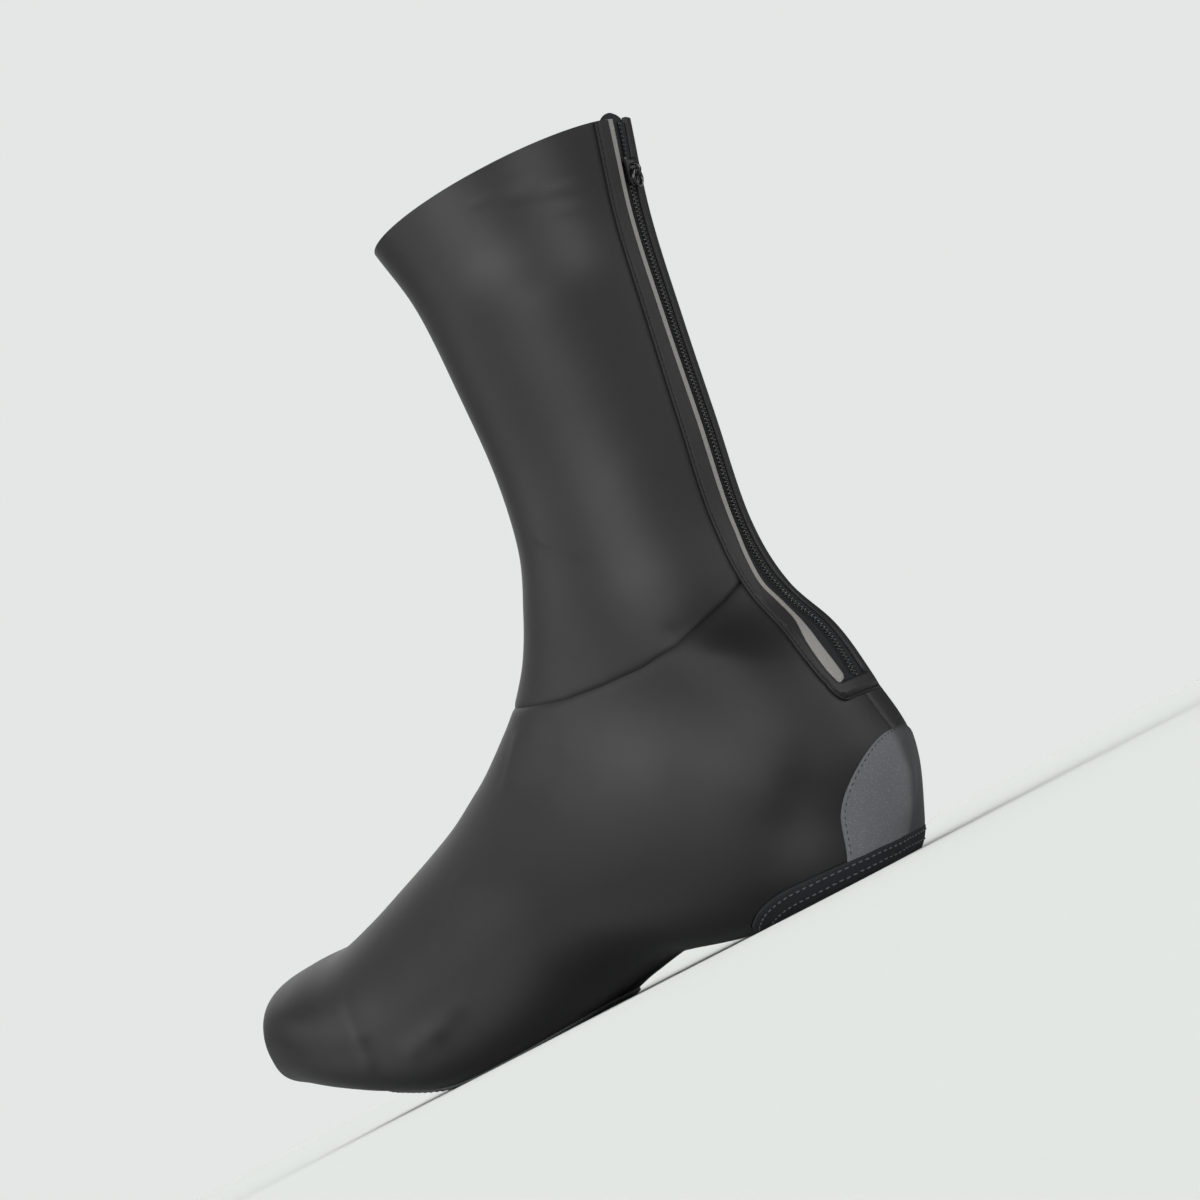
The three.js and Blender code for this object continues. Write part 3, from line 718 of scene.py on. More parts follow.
def cut_panel(name, node, inner_face, cuts, score_lines):
    """One cloth panel: the skin cut along its edges, scored beside its seams, pulled in along them,
    and given its thickness."""
    wrapped = np.concatenate([skin, skin[:, :1]], axis=1)
    panel = draped_grid(name, wrapped, closed=True)

    def shape(bm):
        bm.normal_update()
        for height in cuts:
            cut_along(bm, height)
            bm.normal_update()
        for height in score_lines:
            cut_along(bm, height, drop=False)
            bm.normal_update()
        bmesh.ops.remove_doubles(bm, verts=bm.verts, dist=4e-5)
        bmesh.ops.dissolve_degenerate(bm, edges=bm.edges, dist=2e-5)

    edit(panel, shape)
    points = (np.array([v.co for v in panel.data.vertices]) - shoe_zero) * 1000
    normals = np.array([v.normal for v in panel.data.vertices])
    away = seam_distance(points)
    seam_depth, seam_reach = 0.65, 0.9
    points -= normals * (seam_depth * np.exp(-away / seam_reach))[:, None]
    points[:, 2] = np.maximum(points[:, 2], 0.0)
    panel.data.vertices.foreach_set("co", packed(points).reshape(-1))
    # the second attribute holds the painted highlight and painted shade of the coat's shine
    for word, values in (("seam", np.exp(-((away / 0.55) ** 2))), ("painted_sheen", crease_height(points, painted_sheen_spots))):
        panel.data.attributes.new(word, "FLOAT", "POINT").data.foreach_set("value", values)
    for material in (coated_cloth, inner_face, cut_edge):
        panel.data.materials.append(material)
    apply_modifier(
        panel, "SOLIDIFY",
        thickness=cloth_thickness / 1000, offset=-1, material_offset=1, material_offset_rim=2,
    )
    smooth(panel, 50)
    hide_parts(node)
    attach(panel, "boot")


def fine_seam_lines(inside):
    """Score lines beside and along a fine seam on the middle line, where inside(points) holds."""
    return [
        lambda p, y=y: np.where(inside(p), p[..., 1] - y, 50.0)
        for y in (-1.5, -0.6, 0.0, 0.6, 1.5)
    ]


cut_panel(
    "shaft_panel", "shaft", lining_in_painted_shade,
    [lambda p: above_seam(p) + 0.05, outside_slot],
    [lambda p: above_seam(p) - 0.6, lambda p: above_seam(p) - 1.6],
)
cut_panel(
    "foot_cloth_panel", "foot_panel", lining,
    [lambda p: -above_seam(p) + 0.05, outside_slot, outside_heel_band, outside_cleat_oval],
    [
        lambda p: above_seam(p) + 0.6,
        lambda p: above_seam(p) + 1.6,
        *fine_seam_lines(lambda p: (p[..., 2] < 20) & (p[..., 0] > 50) & (p[..., 0] < 150)),
        *fine_seam_lines(lambda p: (p[..., 0] < 20) & (p[..., 2] > 10) & (p[..., 2] < 62)),
    ],
)

# ----------------------------------------------------------
# Stitches: lockstitches of black bonded thread, each a short rounded bar that dips into the cloth
# at both ends. One is modelled and the rest of a row are its copies.


def new_thread(name, tones):
    """A thread material: fibres that run between two tones."""
    made, tree, shader, coords = new_material(name)
    fibre = add_node(tree, "ShaderNodeTexNoise", {
        "Vector": coords["Object"],
        "Scale": 1 / 0.0005,
        "Detail": 2.0,
    })
    dress(shader, fibre.outputs["Fac"], tones, {"Roughness": 0.6, "Specular IOR Level": 0.15})
    return made


thread = new_thread("bonded_black_thread", ("#050505", "#0f0f10"))


def one_stitch(length, thickness):
    """Corners and faces of one stitch in mm, lying along X with Z up, its ends dipping."""
    bpy.ops.mesh.primitive_uv_sphere_add(segments=8, ring_count=7, radius=1, rotation=(0, math.pi / 2, 0))
    bead = bpy.context.object
    bpy.ops.object.transform_apply()
    corners = np.array([v.co for v in bead.data.vertices])
    corners[:, 0] = np.sign(corners[:, 0]) * np.abs(corners[:, 0]) ** 0.7 * length / 2
    corners[:, 1:] *= thickness / 2
    corners[:, 2] -= thickness * 0.9 * (corners[:, 0] / (length / 2)) ** 4
    faces = [tuple(p.vertices) for p in bead.data.polygons]
    bpy.data.objects.remove(bead)
    return corners, faces


def copies(name, shape, stands, material):
    """One mesh holding a copy of a small shape at each stand: (place, along, outwards) in mm."""
    corners, faces = shape
    points, polygons = [], []
    for place, along, outwards in stands:
        along = along / np.linalg.norm(along)
        across = np.cross(outwards, along)
        across /= np.linalg.norm(across)
        outwards = np.cross(along, across)
        polygons += [tuple(len(points) * len(corners) + k for k in face) for face in faces]
        points.append(place + corners @ np.array([along, across, outwards]))
    mesh = bpy.data.meshes.new(name)
    mesh.from_pydata(packed(np.vstack(points)).tolist(), [], polygons)
    mesh.materials.append(material)
    piece = bpy.data.objects.new(name, mesh)
    bpy.context.collection.objects.link(piece)
    smooth(piece, 60)
    return piece


def sewn_row(name, spots, step=2.2, length=1.7, thickness=0.5, height=0.1, material=thread):
    """A row of stitches along spots of (point, normal), standing height mm out of them."""
    points = np.array([raised(spot, height) for spot in spots])
    points[:, 2] = np.maximum(points[:, 2], thickness / 2)
    normals = np.array([spot[1] for spot in spots])
    run = run_along(points)
    stands = []
    for s in np.arange(step / 2, run[-1], step):
        here, ahead, behind = (
            np.array([np.interp(s + shift, run, column) for column in points.T])
            for shift in (0, 0.6, -0.6)
        )
        outwards = np.array([np.interp(s, run, column) for column in normals.T])
        stands.append((here, ahead - behind, outwards))
    piece = copies(name, one_stitch(length, thickness), stands, material)
    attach(piece, "boot")
    return piece


# ----------------------------------------------------------
# Heel patch: a rounded piece of smooth grey reflective film cloth sewn on over the back of the
# heel, down to the heel binding. It shines a little more than the coat, and its colour carries
# fine lighter specks as painted glints.

patch_height, patch_half_width = 39.5, 28.0
patch_shoulder, patch_squareness = 21.7, 2.4

reflective_film, tree, shader, coords = new_material("grey_reflective_film")
bead = add_node(tree, "ShaderNodeTexVoronoi", {"Vector": coords["Object"], "Scale": 1 / 0.0006})
# painted glints: the fine bead specks are lighter in their middles
painted_bead_glints = add_node(tree, "ShaderNodeMapRange", {
    "Value": bead.outputs["Distance"],
    "From Min": 0.1,
    "From Max": 0.3,
})
tone = add_node(tree, "ShaderNodeMix", {
    0: painted_bead_glints.outputs["Result"],
    6: linear("#55575a"),
    7: linear("#3b3c3e"),
}, data_type="RGBA")
# painted shade: the inner half, past the seam at the back of the heel, is darkened where it turns away from
# the light
across = add_node(tree, "ShaderNodeSeparateXYZ", {"Vector": coords["Object"]})
painted_shade_half = add_node(tree, "ShaderNodeMapRange", {
    "Value": across.outputs["Y"],
    "From Min": float(packed((0, 0.5, 0))[1]),
    "From Max": float(packed((0, 4.5, 0))[1]),
    "To Min": 0.62,
    "To Max": 0.0,
})
film_with_painted_shade = add_node(tree, "ShaderNodeMix", {
    0: painted_shade_half.outputs["Result"],
    6: tone.outputs[2],
    7: linear("#080808"),
}, data_type="RGBA")
bump = add_node(tree, "ShaderNodeBump", {
    "Height": bead.outputs["Distance"],
    "Strength": 0.25,
    "Distance": 0.0001,
})
set_inputs(shader, {
    "Base Color": film_with_painted_shade.outputs[2],
    "Normal": bump.outputs["Normal"],
    "Roughness": 0.6,
    "Specular IOR Level": 0.12,
})


def patch_half(z):
    """Half width of the patch at a height, in mm."""
    t = np.clip((z - patch_height + patch_shoulder) / patch_shoulder, 0, 1)
    return patch_half_width * (1 - t**patch_squareness) ** (1 / patch_squareness)


patch_levels = patch_height - (patch_height - 5.0) * np.sin(np.linspace(0, np.pi / 2, 33)) ** 1.6
patch_grid = []
for z in patch_levels[::-1]:
    half = max(patch_half(z), 0.05)
    row = [from_behind(y, z) for y in half * np.sin(np.linspace(-np.pi / 2, np.pi / 2, 45))]
    edge = np.abs(np.linspace(-1, 1, 45))
    row_out = 0.55 * np.clip((patch_height - z) / 0.4, 0, 1)
    patch_grid.append([raised(s, row_out * (1 - e**40) + 0.05) for s, e in zip(row, edge)])
heel_patch = draped_grid("heel_reflective_patch", patch_grid)
heel_patch.data.materials.append(reflective_film)
apply_modifier(heel_patch, "SOLIDIFY", thickness=0.0004, offset=-1)
smooth(heel_patch, 50)
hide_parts("heel_patch")
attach(heel_patch, "boot")

inset = 0.9
sewn_half, sewn_shoulder = patch_half_width - inset, patch_shoulder - inset
patch_edge = [from_behind(sewn_half, z) for z in np.linspace(8.5, 17.0, 6)]
for a in np.linspace(0.0, np.pi, 61):
    c, s = math.cos(a), math.sin(a)
    y = sewn_half * math.copysign(abs(c) ** (2 / patch_squareness), c)
    z = patch_height - patch_shoulder + sewn_shoulder * s ** (2 / patch_squareness)
    patch_edge.append(from_behind(y, z))
patch_edge += [from_behind(-sewn_half, z) for z in np.linspace(17.0, 8.5, 6)]
sewn_row("heel_patch_stitches", patch_edge, step=2.3, length=1.8, thickness=0.42, height=0.5)

# ----------------------------------------------------------
# Heel binding: a folded woven nylon tape sewn over the lower edge of the heel with two rows of
# stitches. It closes the cloth round the heel hole and stands a little proud of it on both sides.

woven_tape, tree, shader, coords = new_material("woven_nylon_tape")
warp = add_node(tree, "ShaderNodeTexWave", {
    "Vector": coords["UV"],
    "Scale": 1 / (0.9 * 2 * math.pi) * 3.0,
    "Distortion": 0.4,
}, bands_direction="X")
weft = add_node(tree, "ShaderNodeTexWave", {
    "Vector": coords["UV"],
    "Scale": 1 / (0.7 * 2 * math.pi) * 3.0,
    "Distortion": 0.4,
}, bands_direction="Y")
weave = add_node(tree, "ShaderNodeMath", {
    0: warp.outputs["Fac"],
    1: weft.outputs["Fac"],
}, operation="MULTIPLY")
dress(
    shader, weave.outputs[0], ("#08090b", "#15171b"), {"Roughness": 0.8, "Specular IOR Level": 0.15},
    (weave.outputs[0], 0.5, 0.0002),
)
grey_thread = new_thread("bonded_charcoal_thread", ("#1b1c1f", "#3a3b3f"))

# How a tape is folded over an edge: share of the way from its outer edge to the hole, and height
# over the cloth in mm, first over, then round and back
tape_fold = [
    (0.00, -0.2), (0.00, 0.35), (0.02, 0.7), (0.06, 0.85), (0.16, 0.85), (0.28, 0.85), (0.4, 0.85),
    (0.52, 0.85), (0.64, 0.85), (0.76, 0.85), (0.86, 0.85), (0.94, 0.8), (0.99, 0.5), (1.00, 0.0),
    (1.00, -0.8), (1.00, -1.6), (0.99, -2.0), (0.94, -2.2), (0.8, -2.2), (0.6, -2.2), (0.4, -2.2),
    (0.2, -2.2), (0.05, -2.1), (0.02, -1.5),
]


def oval_spot(hole, turn, inset=0.0, squareness=2.5):
    """A place in plan on a hole's rim (inset moves it inwards)."""
    middle = (hole["back"] + hole["front"]) / 2
    half = (hole["front"] - hole["back"]) / 2 - inset
    c, s = math.cos(turn), math.sin(turn)
    return (
        middle + half * math.copysign(abs(c) ** (2 / squareness), c),
        (hole["half_width"] - inset) * math.copysign(abs(s) ** (2 / squareness), s),
    )


def heel_band_edge(turn):
    """The binding's outer edge in a direction in plan from the middle of the heel."""
    middle = np.array([36.0, 0.0])
    direction = np.array([math.cos(turn), math.sin(turn)])
    # walk outwards over the sole and then up the side, stopping at the band's upper edge
    tries = [((*(middle + direction * reach), -40.0), (0, 0, 1)) for reach in np.linspace(18, 60, 64)]
    tries += [((*(middle + direction * 90), z), (*-direction, 0)) for z in np.linspace(0.5, 14, 40)]
    path = []
    for origin, towards in tries:
        hit = skin_tree.ray_cast(Vector(origin), Vector(towards))[0]
        if hit is not None and hit.z < 25:
            path.append(np.array(hit))
    path = np.array(sorted(path, key=lambda p: np.hypot(*(p[:2] - middle)) + p[2]))
    beyond = np.nonzero(outside_heel_band(path) > 0)[0]
    return path[beyond[0] - 1] if len(beyond) and beyond[0] > 0 else path[-1]


def bound_edge(name, node, outer_edge, inner_edge, material, ripple=0.0, ripple_pitch=2.0):
    """A tape folded over an edge: between its outer edge on the cloth and the hole's rim."""
    outer_edge, inner_edge = np.array(outer_edge), np.array(inner_edge)
    grid = []
    for start, end, s in zip(outer_edge, inner_edge, run_along(outer_edge)):
        row = []
        for share, lift in tape_fold:
            spot = nearest_skin(start + (end - start) * share)
            if ripple and lift > 0:
                lift += ripple * math.sin(2 * math.pi * s / ripple_pitch)
            row.append(raised(spot, lift))
        grid.append(row + row[:1])
    piece = draped_grid(name, grid, closed=True)
    point_outwards(piece)
    piece.data.materials.append(material)
    smooth(piece, 60)
    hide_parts(node)
    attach(piece, "boot")
    return piece


turns = np.linspace(0, 2 * np.pi, 161)
heel_outer = np.array([heel_band_edge(t) for t in turns[:-1]])
heel_outer = sum(np.roll(heel_outer, k, axis=0) for k in (-2, -1, 0, 1, 2)) / 5
heel_outer = np.vstack([heel_outer, heel_outer[:1]])


def rim_along(hole, spots):
    """The point of a hole's rim in the same direction in plan as each spot."""
    middle = (hole["back"] + hole["front"]) / 2
    fine = np.array([oval_spot(hole, t) for t in np.linspace(0, 2 * np.pi, 721)])
    angles = np.arctan2(fine[:, 1], fine[:, 0] - middle)
    found = []
    for spot in spots:
        turn = math.atan2(spot[1], spot[0] - middle)
        x, y = fine[np.argmin(np.abs((angles - turn + np.pi) % (2 * np.pi) - np.pi))]
        found.append(from_below(x, y)[0])
    return np.array(found)


heel_inner = rim_along(heel_hole, heel_outer)
bound_edge("heel_edge_binding", "heel_binding", heel_outer, heel_inner, woven_tape)
for number, share in enumerate((0.16, 0.42), 1):
    row = [nearest_skin(a + (b - a) * share) for a, b in zip(heel_outer, heel_inner)]
    sewn_row(
        f"heel_binding_stitches_{number}", row,
        step=2.6, length=1.9, thickness=0.6, height=0.9, material=grey_thread,
    )

# ----------------------------------------------------------
# Cleat binding: a narrow elastic tape sewn on stretched, so that it gathers into fine ribs round
# the opening under the ball of the foot.

ribbed_elastic, tree, shader, coords = new_material("ribbed_black_elastic")
rib = add_node(tree, "ShaderNodeTexWave", {
    "Vector": coords["UV"],
    "Scale": 1 / (1.6 * 2 * math.pi) * 3.0,
    "Distortion": 0.6,
}, bands_direction="Y")
dress(
    shader, rib.outputs["Fac"], ("#070708", "#131416"), {"Roughness": 0.7},
    (rib.outputs["Fac"], 0.7, 0.0004),
)

turns = np.linspace(0, 2 * np.pi, 221)
cleat_outer = [from_below(*oval_spot(cleat_hole, t))[0] for t in turns]
cleat_inner = [from_below(*oval_spot(cleat_hole, t, inset=8.0))[0] for t in turns]
bound_edge(
    "cleat_edge_binding", "cleat_binding", cleat_outer, cleat_inner, ribbed_elastic,
    ripple=0.12, ripple_pitch=3.2,
)
row = [nearest_skin(a + (b - a) * 0.22) for a, b in zip(cleat_outer, cleat_inner)]
sewn_row("cleat_binding_stitches", row, step=2.8, length=2.0, thickness=0.45, height=0.85)

# ----------------------------------------------------------
# Zip tapes: two strips of black polyester tape sewn under the folded edges. Above the slider they
# part and carry their own half of the open coil.

zip_top = collar_back - 1.0


def splay(z):
    """How far each tape has moved aside above the slider, as a share of the way to the fold."""
    return np.clip((z - slit_low + 3.9) / 11.0, 0, 1) ** 0.8


def coil_edge(z, side, reach=0.35):
    """Where a tape's inner edge lies: beside the middle line, and parted above the slider."""
    return zip_place(z, middle_line) + side * (reach + splay(z) * (3.0 if side == near else 0.8))


for side, word in ((near, "left"), (far, "right")):
    grid = []
    for z in np.linspace(zip_low - 1.0, zip_top, 120):
        outer = zip_y(z, side, near_fold if side == near else far_fold) + side * 2.2
        inner = coil_edge(z, side)
        grid.append([raised(from_behind(y, z), -0.1) for y in np.linspace(outer, inner, 9)])
    tape = draped_grid(f"zip_tape_cloth_{word}", grid)
    tape.data.materials.append(woven_tape)
    apply_modifier(tape, "SOLIDIFY", thickness=0.0007, offset=-1)
    smooth(tape, 50)
    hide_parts(f"zip_tape_{word}")
    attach(tape, "boot")

# ----------------------------------------------------------
# Zip shade sheet: a soft black flap of tape cloth behind the open top of the zip, put there as
# painted shade for the dark inside of the slit. Its rounded upper edge stands a little above the collar.

shade_sheet_low = slit_low - 6.0
shade_sheet_middle, shade_sheet_half, shade_sheet_rise = -6.0, 13.0, 4.4
grid = []
for across in np.linspace(-1, 1, 25):
    y = shade_sheet_middle + shade_sheet_half * across
    top = collar_back - 1.4 + shade_sheet_rise * math.sqrt(1 - across**2)
    column = []
    for z in np.linspace(shade_sheet_low, top, 30):
        base = min(z, collar_back - 0.6)
        point = raised(from_behind(y, base), -1.3)
        column.append(point + np.array([0.25 * (z - base), 0.0, z - base]))
    grid.append(column)
shade_sheet = draped_grid("zip_shade_sheet", grid)
shade_sheet.data.materials.append(woven_tape)
apply_modifier(shade_sheet, "SOLIDIFY", thickness=0.0006, offset=0)
smooth(shade_sheet, 60)
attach(shade_sheet, "boot")

# ----------------------------------------------------------
# Zip coil: nylon monofilament wound into two interlocking rows of small hooked teeth, held to the
# tapes by a row of chain stitches. Above the slider the rows part.

coil_nylon, tree, shader, coords = new_material("black_nylon_monofilament")
streak = add_node(tree, "ShaderNodeTexNoise", {"Vector": coords["Object"], "Scale": 900.0, "Detail": 2.0})
dress(shader, streak.outputs["Fac"], ("#040404", "#0e0d0d"), {"Roughness": 0.35, "Specular IOR Level": 0.4})


def subdivide(cuts):
    """Cuts every edge of the active piece this many times."""
    bpy.ops.object.mode_set(mode="EDIT")
    bpy.ops.mesh.select_all(action="SELECT")
    bpy.ops.mesh.subdivide(number_cuts=cuts)
    bpy.ops.object.mode_set(mode="OBJECT")


def one_tooth():
    """Corners and faces of a tooth in mm: a bar along X with a hooked, thickened head."""
    bpy.ops.mesh.primitive_cylinder_add(vertices=7, radius=1, depth=2, rotation=(0, math.pi / 2, 0))
    bar = bpy.context.object
    bpy.ops.object.transform_apply()
    subdivide(5)
    corners = np.array([v.co for v in bar.data.vertices])
    x = corners[:, 0].copy()
    girth = 0.24 + 0.12 * np.exp(-(((x - 0.75) / 0.25) ** 2)) - 0.2 * np.clip(np.abs(x) - 0.9, 0, 1)
    corners[:, 1] *= girth
    corners[:, 2] = corners[:, 2] * girth + 0.3 * (1 - x**2)
    corners[:, 0] = x * 0.85
    faces = [tuple(p.vertices) for p in bar.data.polygons]
    bpy.data.objects.remove(bar)
    return corners, faces


tooth = one_tooth()
stands = []
closed_teeth_top = slit_low - 4.0
for number, z in enumerate(np.arange(zip_low + 0.4, closed_teeth_top, 0.68)):
    side = 1 if number % 2 else -1
    spot = from_behind(zip_place(z, middle_line) + side * 0.75, z)
    ahead = from_behind(zip_place(z, middle_line) - side * 0.75, z)
    stands.append((raised(spot, 0.3), ahead[0] - spot[0], spot[1]))
coil = copies("zip_coil_teeth", tooth, stands, coil_nylon)
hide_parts("zip_coil")
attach(coil, "boot")
for side, word in ((near, "left"), (far, "right")):
    stands = []
    for z in np.arange(slit_low + 4.5, zip_top - 0.5, 1.36):
        edge = coil_edge(z, side, 0.9)
        spot, ahead = from_behind(edge, z), from_behind(edge - side, z)
        stands.append((raised(spot, -0.4), ahead[0] - spot[0], spot[1]))
    open_teeth = copies(f"zip_open_teeth_{word}", tooth, stands, coil_nylon)
    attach(open_teeth, "boot")
    for number, reach in enumerate((1.5, 2.7), 1):
        chain = [
            from_behind(zip_place(z, middle_line) + side * reach, z)
            for z in np.arange(zip_low + 1, closed_teeth_top, 2.0)
        ]
        sewn_row(
            f"coil_chain_stitches_{word}_{number}", chain,
            step=1.36, length=1.2, thickness=0.34, height=0.55 - 0.2 * number,
        )

# ----------------------------------------------------------
# Turned edge: on the outer side the facing's cloth is folded back on itself beside the coil as a narrow
# strip, which ends below in a wide rounded tongue. The strip is coloured pale grey as a painted
# highlight, for the light that its rounded fold catches.

turned_edge_highlight, tree, shader, coords = new_material("turned_edge_painted_highlight")
nap = add_node(tree, "ShaderNodeTexNoise", {"Vector": coords["Object"], "Scale": 1 / 0.0009, "Detail": 3.0})
dress(
    shader, nap.outputs["Fac"], ("#484644", "#5b5956"), {"Roughness": 0.7},
    (nap.outputs["Fac"], 0.35, 0.0002),
)

grid = []
for z in np.linspace(zip_low - 0.6, collar_back - 0.2, 150):
    round_end = math.sqrt(max(1 - max(1 - (z - zip_low + 0.6) / 3.2, 0) ** 2, 0.0))
    start, end = zip_y(z, near, near_fold) + 1.0, zip_y(z, near, strip_edge)
    end = start + (end - start) * (0.12 + 0.88 * round_end)
    grid.append([
        raised(from_behind(start + (end - start) * t, z), 1.15 - 0.25 * t - 0.75 * max(t - 0.86, 0) / 0.14)
        for t in np.linspace(0, 1, 11)
    ])
fold = draped_grid("zip_turned_edge", grid)
fold.data.materials.append(turned_edge_highlight)
apply_modifier(fold, "SOLIDIFY", thickness=0.0005, offset=-1)
smooth(fold, 60)
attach(fold, "boot")

# ----------------------------------------------------------
# Zip surround: a strip of the coated cloth folded to a soft edge beside the zip, sewn down along
# its outer edge on both sides and across the zip's lower end.

def surround_row(outer_yz, inner_yz, fold_share=1.0):
    """One crossing of the strip from its sewn outer edge to its folded inner edge, which is pressed
    down to fold_share of its height."""
    outer_yz, inner_yz = np.array(outer_yz, float), np.array(inner_yz, float)
    width = np.linalg.norm(inner_yz - outer_yz)
    cross = [
        (0.0, -0.1), (0.0, 0.55), (0.2, 0.9), (0.5, 0.9), (0.95, 0.3), (1.4, 0.9), (1.9, 1.12),
        (0.3 * width, 1.22), (0.45 * width, 1.25), (0.6 * width, 1.28), (0.75 * width, 1.32),
        (width - 1.2, 1.38), (width - 0.6, 1.3), (width - 0.25, 1.1),
        (width - 0.05, 0.75), (width - 0.05, 0.2),
    ]
    lower = np.interp(np.array([s for s, _ in cross]) / width, [0.3, 1.0], [1.0, fold_share])
    return [
        raised(from_behind(*(outer_yz + (inner_yz - outer_yz) * (s / width))), h * k)
        for (s, h), k in zip(cross, lower)
    ]


# the long bands end at this height, where the box's rounded corners start
bend = zip_low + 1.5
box_near, box_far = 11.5, -10.0
stitch_inset = 0.95
near_in, far_in = zip_y(bend, near, near_fold), zip_y(bend, far, far_fold)


def box_corner(t, side, inset=0.0):
    """A place on the box's rounded outer corner: t is 0 at the long band and 1 at the lower edge."""
    start = zip_y(bend, side, near_sewn if side == near else far_sewn) - side * inset
    end = (box_near if side == near else box_far) - side * inset * 0.6 / stitch_inset
    turn = t * math.pi / 2
    return end + (start - end) * math.cos(turn) ** 0.8, bend - (bend - box_low - inset) * math.sin(turn)


surround = []
levels = np.linspace(collar_back - 0.3, bend, 140)
for z in levels:
    surround.append(surround_row((zip_y(z, near, near_sewn), z), (zip_y(z, near, near_fold), z)))
corner = np.linspace(0, 1, 13)[1:-1]
for t in corner:
    inner = (near_in - 2.0 * t**2, bend - 1.5 * math.sin(t * math.pi / 2))
    surround.append(surround_row(box_corner(t, near), inner))
for t in np.linspace(0, 1, 17):
    outer_y = box_near + (box_far - box_near) * t
    inner_y = near_in - 2.0 + (far_in + 0.6 - near_in + 2.0) * t
    surround.append(surround_row((outer_y, box_low), (inner_y, zip_low)))
for t in corner[::-1]:
    inner = (far_in + 0.6 * t, bend - 1.5 * math.sin(t * math.pi / 2))
    surround.append(surround_row(box_corner(t, far), inner, 1.0 - 0.4 * (1 - t)))
for z in levels[::-1]:
    lifts = [collar_lift(np.array([0.0, zip_y(z, far, column), z])) for column in (far_fold, far_sewn)]
    top = z + min(lifts) * 0.9
    surround.append(surround_row((zip_y(z, far, far_sewn), top), (zip_y(z, far, far_fold), top), 0.6))
zip_surround = draped_grid("zip_surround", surround)
zip_surround.data.materials.append(coated_cloth)
zip_surround.data.materials.append(cut_edge)
smooth(zip_surround, 80)
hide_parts("zip_facing_left", "zip_facing_right", "zip_end_box")
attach(zip_surround, "boot")
sewn = [
    from_behind(zip_y(z, near, near_sewn) - stitch_inset, z)
    for z in np.linspace(collar_back - 1, bend, 100)
]
sewn += [from_behind(*box_corner(t, near, stitch_inset)) for t in corner]
sewn += [from_behind(y, box_low + stitch_inset) for y in np.linspace(box_near - 0.7, box_far + 0.7, 16)]
sewn += [from_behind(*box_corner(t, far, stitch_inset)) for t in corner[::-1]]
sewn += [
    from_behind(zip_y(z, far, far_sewn) + stitch_inset, z)
    for z in np.linspace(bend, collar_back - 1, 100)
]
sewn_row("zip_surround_stitches", sewn, step=2.1, length=1.5, thickness=0.5, height=0.55)

# ----------------------------------------------------------
# Slider: die-cast zinc with a black enamel finish. Two plates joined by a wedge at the top, with a
# small arched crown on the front plate that the ring pull hangs from.

black_enamel, tree, shader, coords = new_material("black_enamelled_zinc")
wear = add_node(tree, "ShaderNodeTexNoise", {"Vector": coords["Object"], "Scale": 700.0, "Detail": 3.0})
worn = add_node(tree, "ShaderNodeMapRange", {
    "Value": wear.outputs["Fac"],
    "To Min": 0.18,
    "To Max": 0.34,
})
dress(shader, wear.outputs["Fac"], ("#050505", "#0b0b0b"), {
    "Roughness": worn.outputs["Result"],
    "Specular IOR Level": 0.22,
    "Coat Weight": 0.15,
    "Coat Roughness": 0.12,
})

slider_seat, slider_out = from_behind(zip_place(slit_low, middle_line), slit_low)
seat_above, seat_below = (
    from_behind(zip_place(z, middle_line), z)[0] for z in (slit_low + 9, slit_low - 9)
)
slider_up = (seat_above - seat_below) / np.linalg.norm(seat_above - seat_below)
slider_side = np.cross(slider_up, slider_out)
slider_side /= np.linalg.norm(slider_side)
slider_out = np.cross(slider_side, slider_up)


def set_on_slider(piece):
    """Moves a piece drawn in mm (X across, Y up the zip, Z outwards) to the slider's seat."""
    turn = np.array([slider_side, slider_up, slider_out])
    corners = np.array([v.co for v in piece.data.vertices]) @ turn + slider_seat
    piece.data.vertices.foreach_set("co", packed(corners).reshape(-1))
    piece.location, piece.rotation_euler, piece.scale = (0, 0, 0), (0, 0, 0), (1, 1, 1)
    piece.data.update()


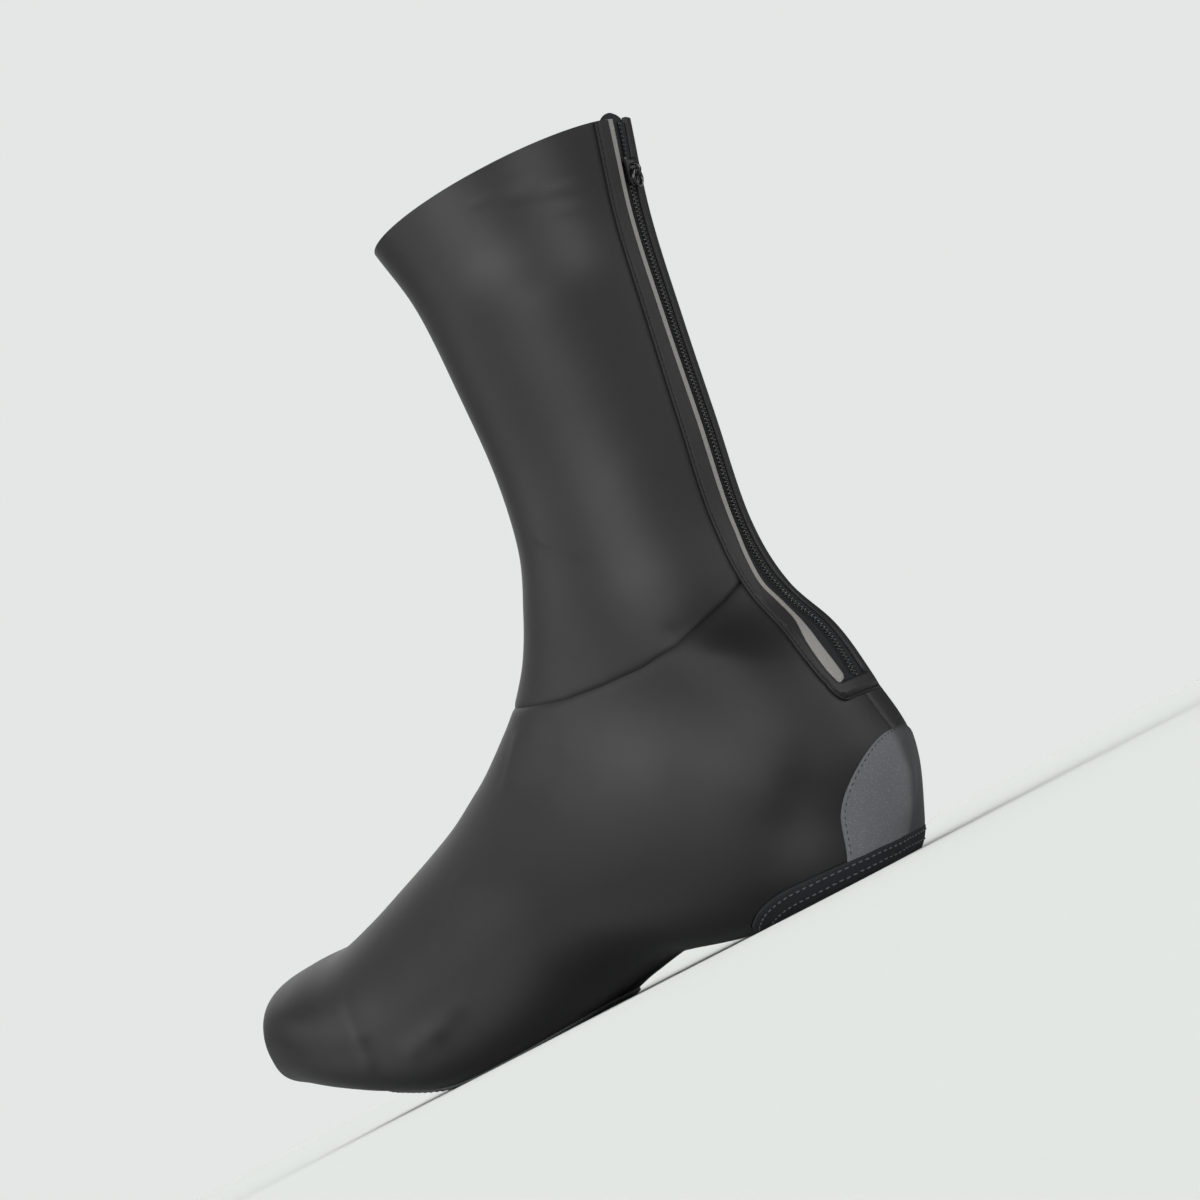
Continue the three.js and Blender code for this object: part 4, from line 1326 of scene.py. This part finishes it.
def slider_plate(name, middle_height, thickness):
    """One plate of the slider in mm: narrowed below, notched above and slightly domed."""
    bpy.ops.mesh.primitive_cube_add(size=1)
    plate = bpy.context.object
    plate.name = plate.data.name = name
    subdivide(5)
    corners = np.array([v.co for v in plate.data.vertices])
    x, y, z = corners.T
    waist = 4.0 - 1.1 * np.clip(0.35 - y, 0, 1) ** 0.8
    notch = 0.9 * np.exp(-((x / 0.16) ** 2)) * (y > 0.45)
    height = z * thickness + middle_height - 0.25 * (2 * x) ** 2
    corners = np.stack([2 * x * waist, 9.0 * y - notch, height], -1)
    plate.data.vertices.foreach_set("co", corners.reshape(-1))
    apply_modifier(
        plate, "BEVEL",
        width=0.35, segments=3, limit_method="ANGLE", angle_limit=math.radians(50),
    )
    return plate


slider = slider_plate("zip_slider_body", 1.6, 1.1)
parts = [slider, slider_plate("slider_back_plate", -3.2, 1.0)]
bpy.ops.mesh.primitive_cylinder_add(vertices=20, radius=0.95, depth=4.4, location=(0, 2.6, -0.8))
bpy.ops.object.transform_apply()
parts.append(bpy.context.object)
bpy.ops.mesh.primitive_torus_add(
    major_radius=2.0, minor_radius=0.5, major_segments=32, minor_segments=12,
    location=(0, 0, 2.55), rotation=(0, math.pi / 2, 0),
)
bpy.ops.object.transform_apply()
parts.append(bpy.context.object)
for part in parts:
    part.select_set(True)
bpy.context.view_layer.objects.active = slider
bpy.ops.object.join()
bpy.ops.object.select_all(action="DESELECT")
set_on_slider(slider)
point_outwards(slider)
slider.data.materials.clear()
slider.data.materials.append(black_enamel)
smooth(slider, 40)
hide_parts("zip_slider")
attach(slider, "boot")

# ----------------------------------------------------------
# Ring pull: a closed ring of the same black enamelled zinc wire, hanging from the crown.

ring_low, ring_high = (np.array(corner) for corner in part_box("zip_pull_ring"))
ring_middle = (ring_low + ring_high) / 2
ring_middle[1] = packed(slider_seat)[1]
ring_lean = math.radians(-15.56)
bpy.ops.mesh.primitive_torus_add(
    major_radius=0.00275, minor_radius=0.00065, major_segments=56, minor_segments=16,
    location=ring_middle, rotation=(0, math.pi / 2 + ring_lean, 0),
)
pull_ring = bpy.context.object
pull_ring.name = pull_ring.data.name = "ring_pull"
bpy.ops.object.transform_apply()
bpy.ops.object.select_all(action="DESELECT")
pull_ring.data.materials.append(black_enamel)
smooth(pull_ring, 60)
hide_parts("zip_pull_ring")
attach(pull_ring, "pull_ring")
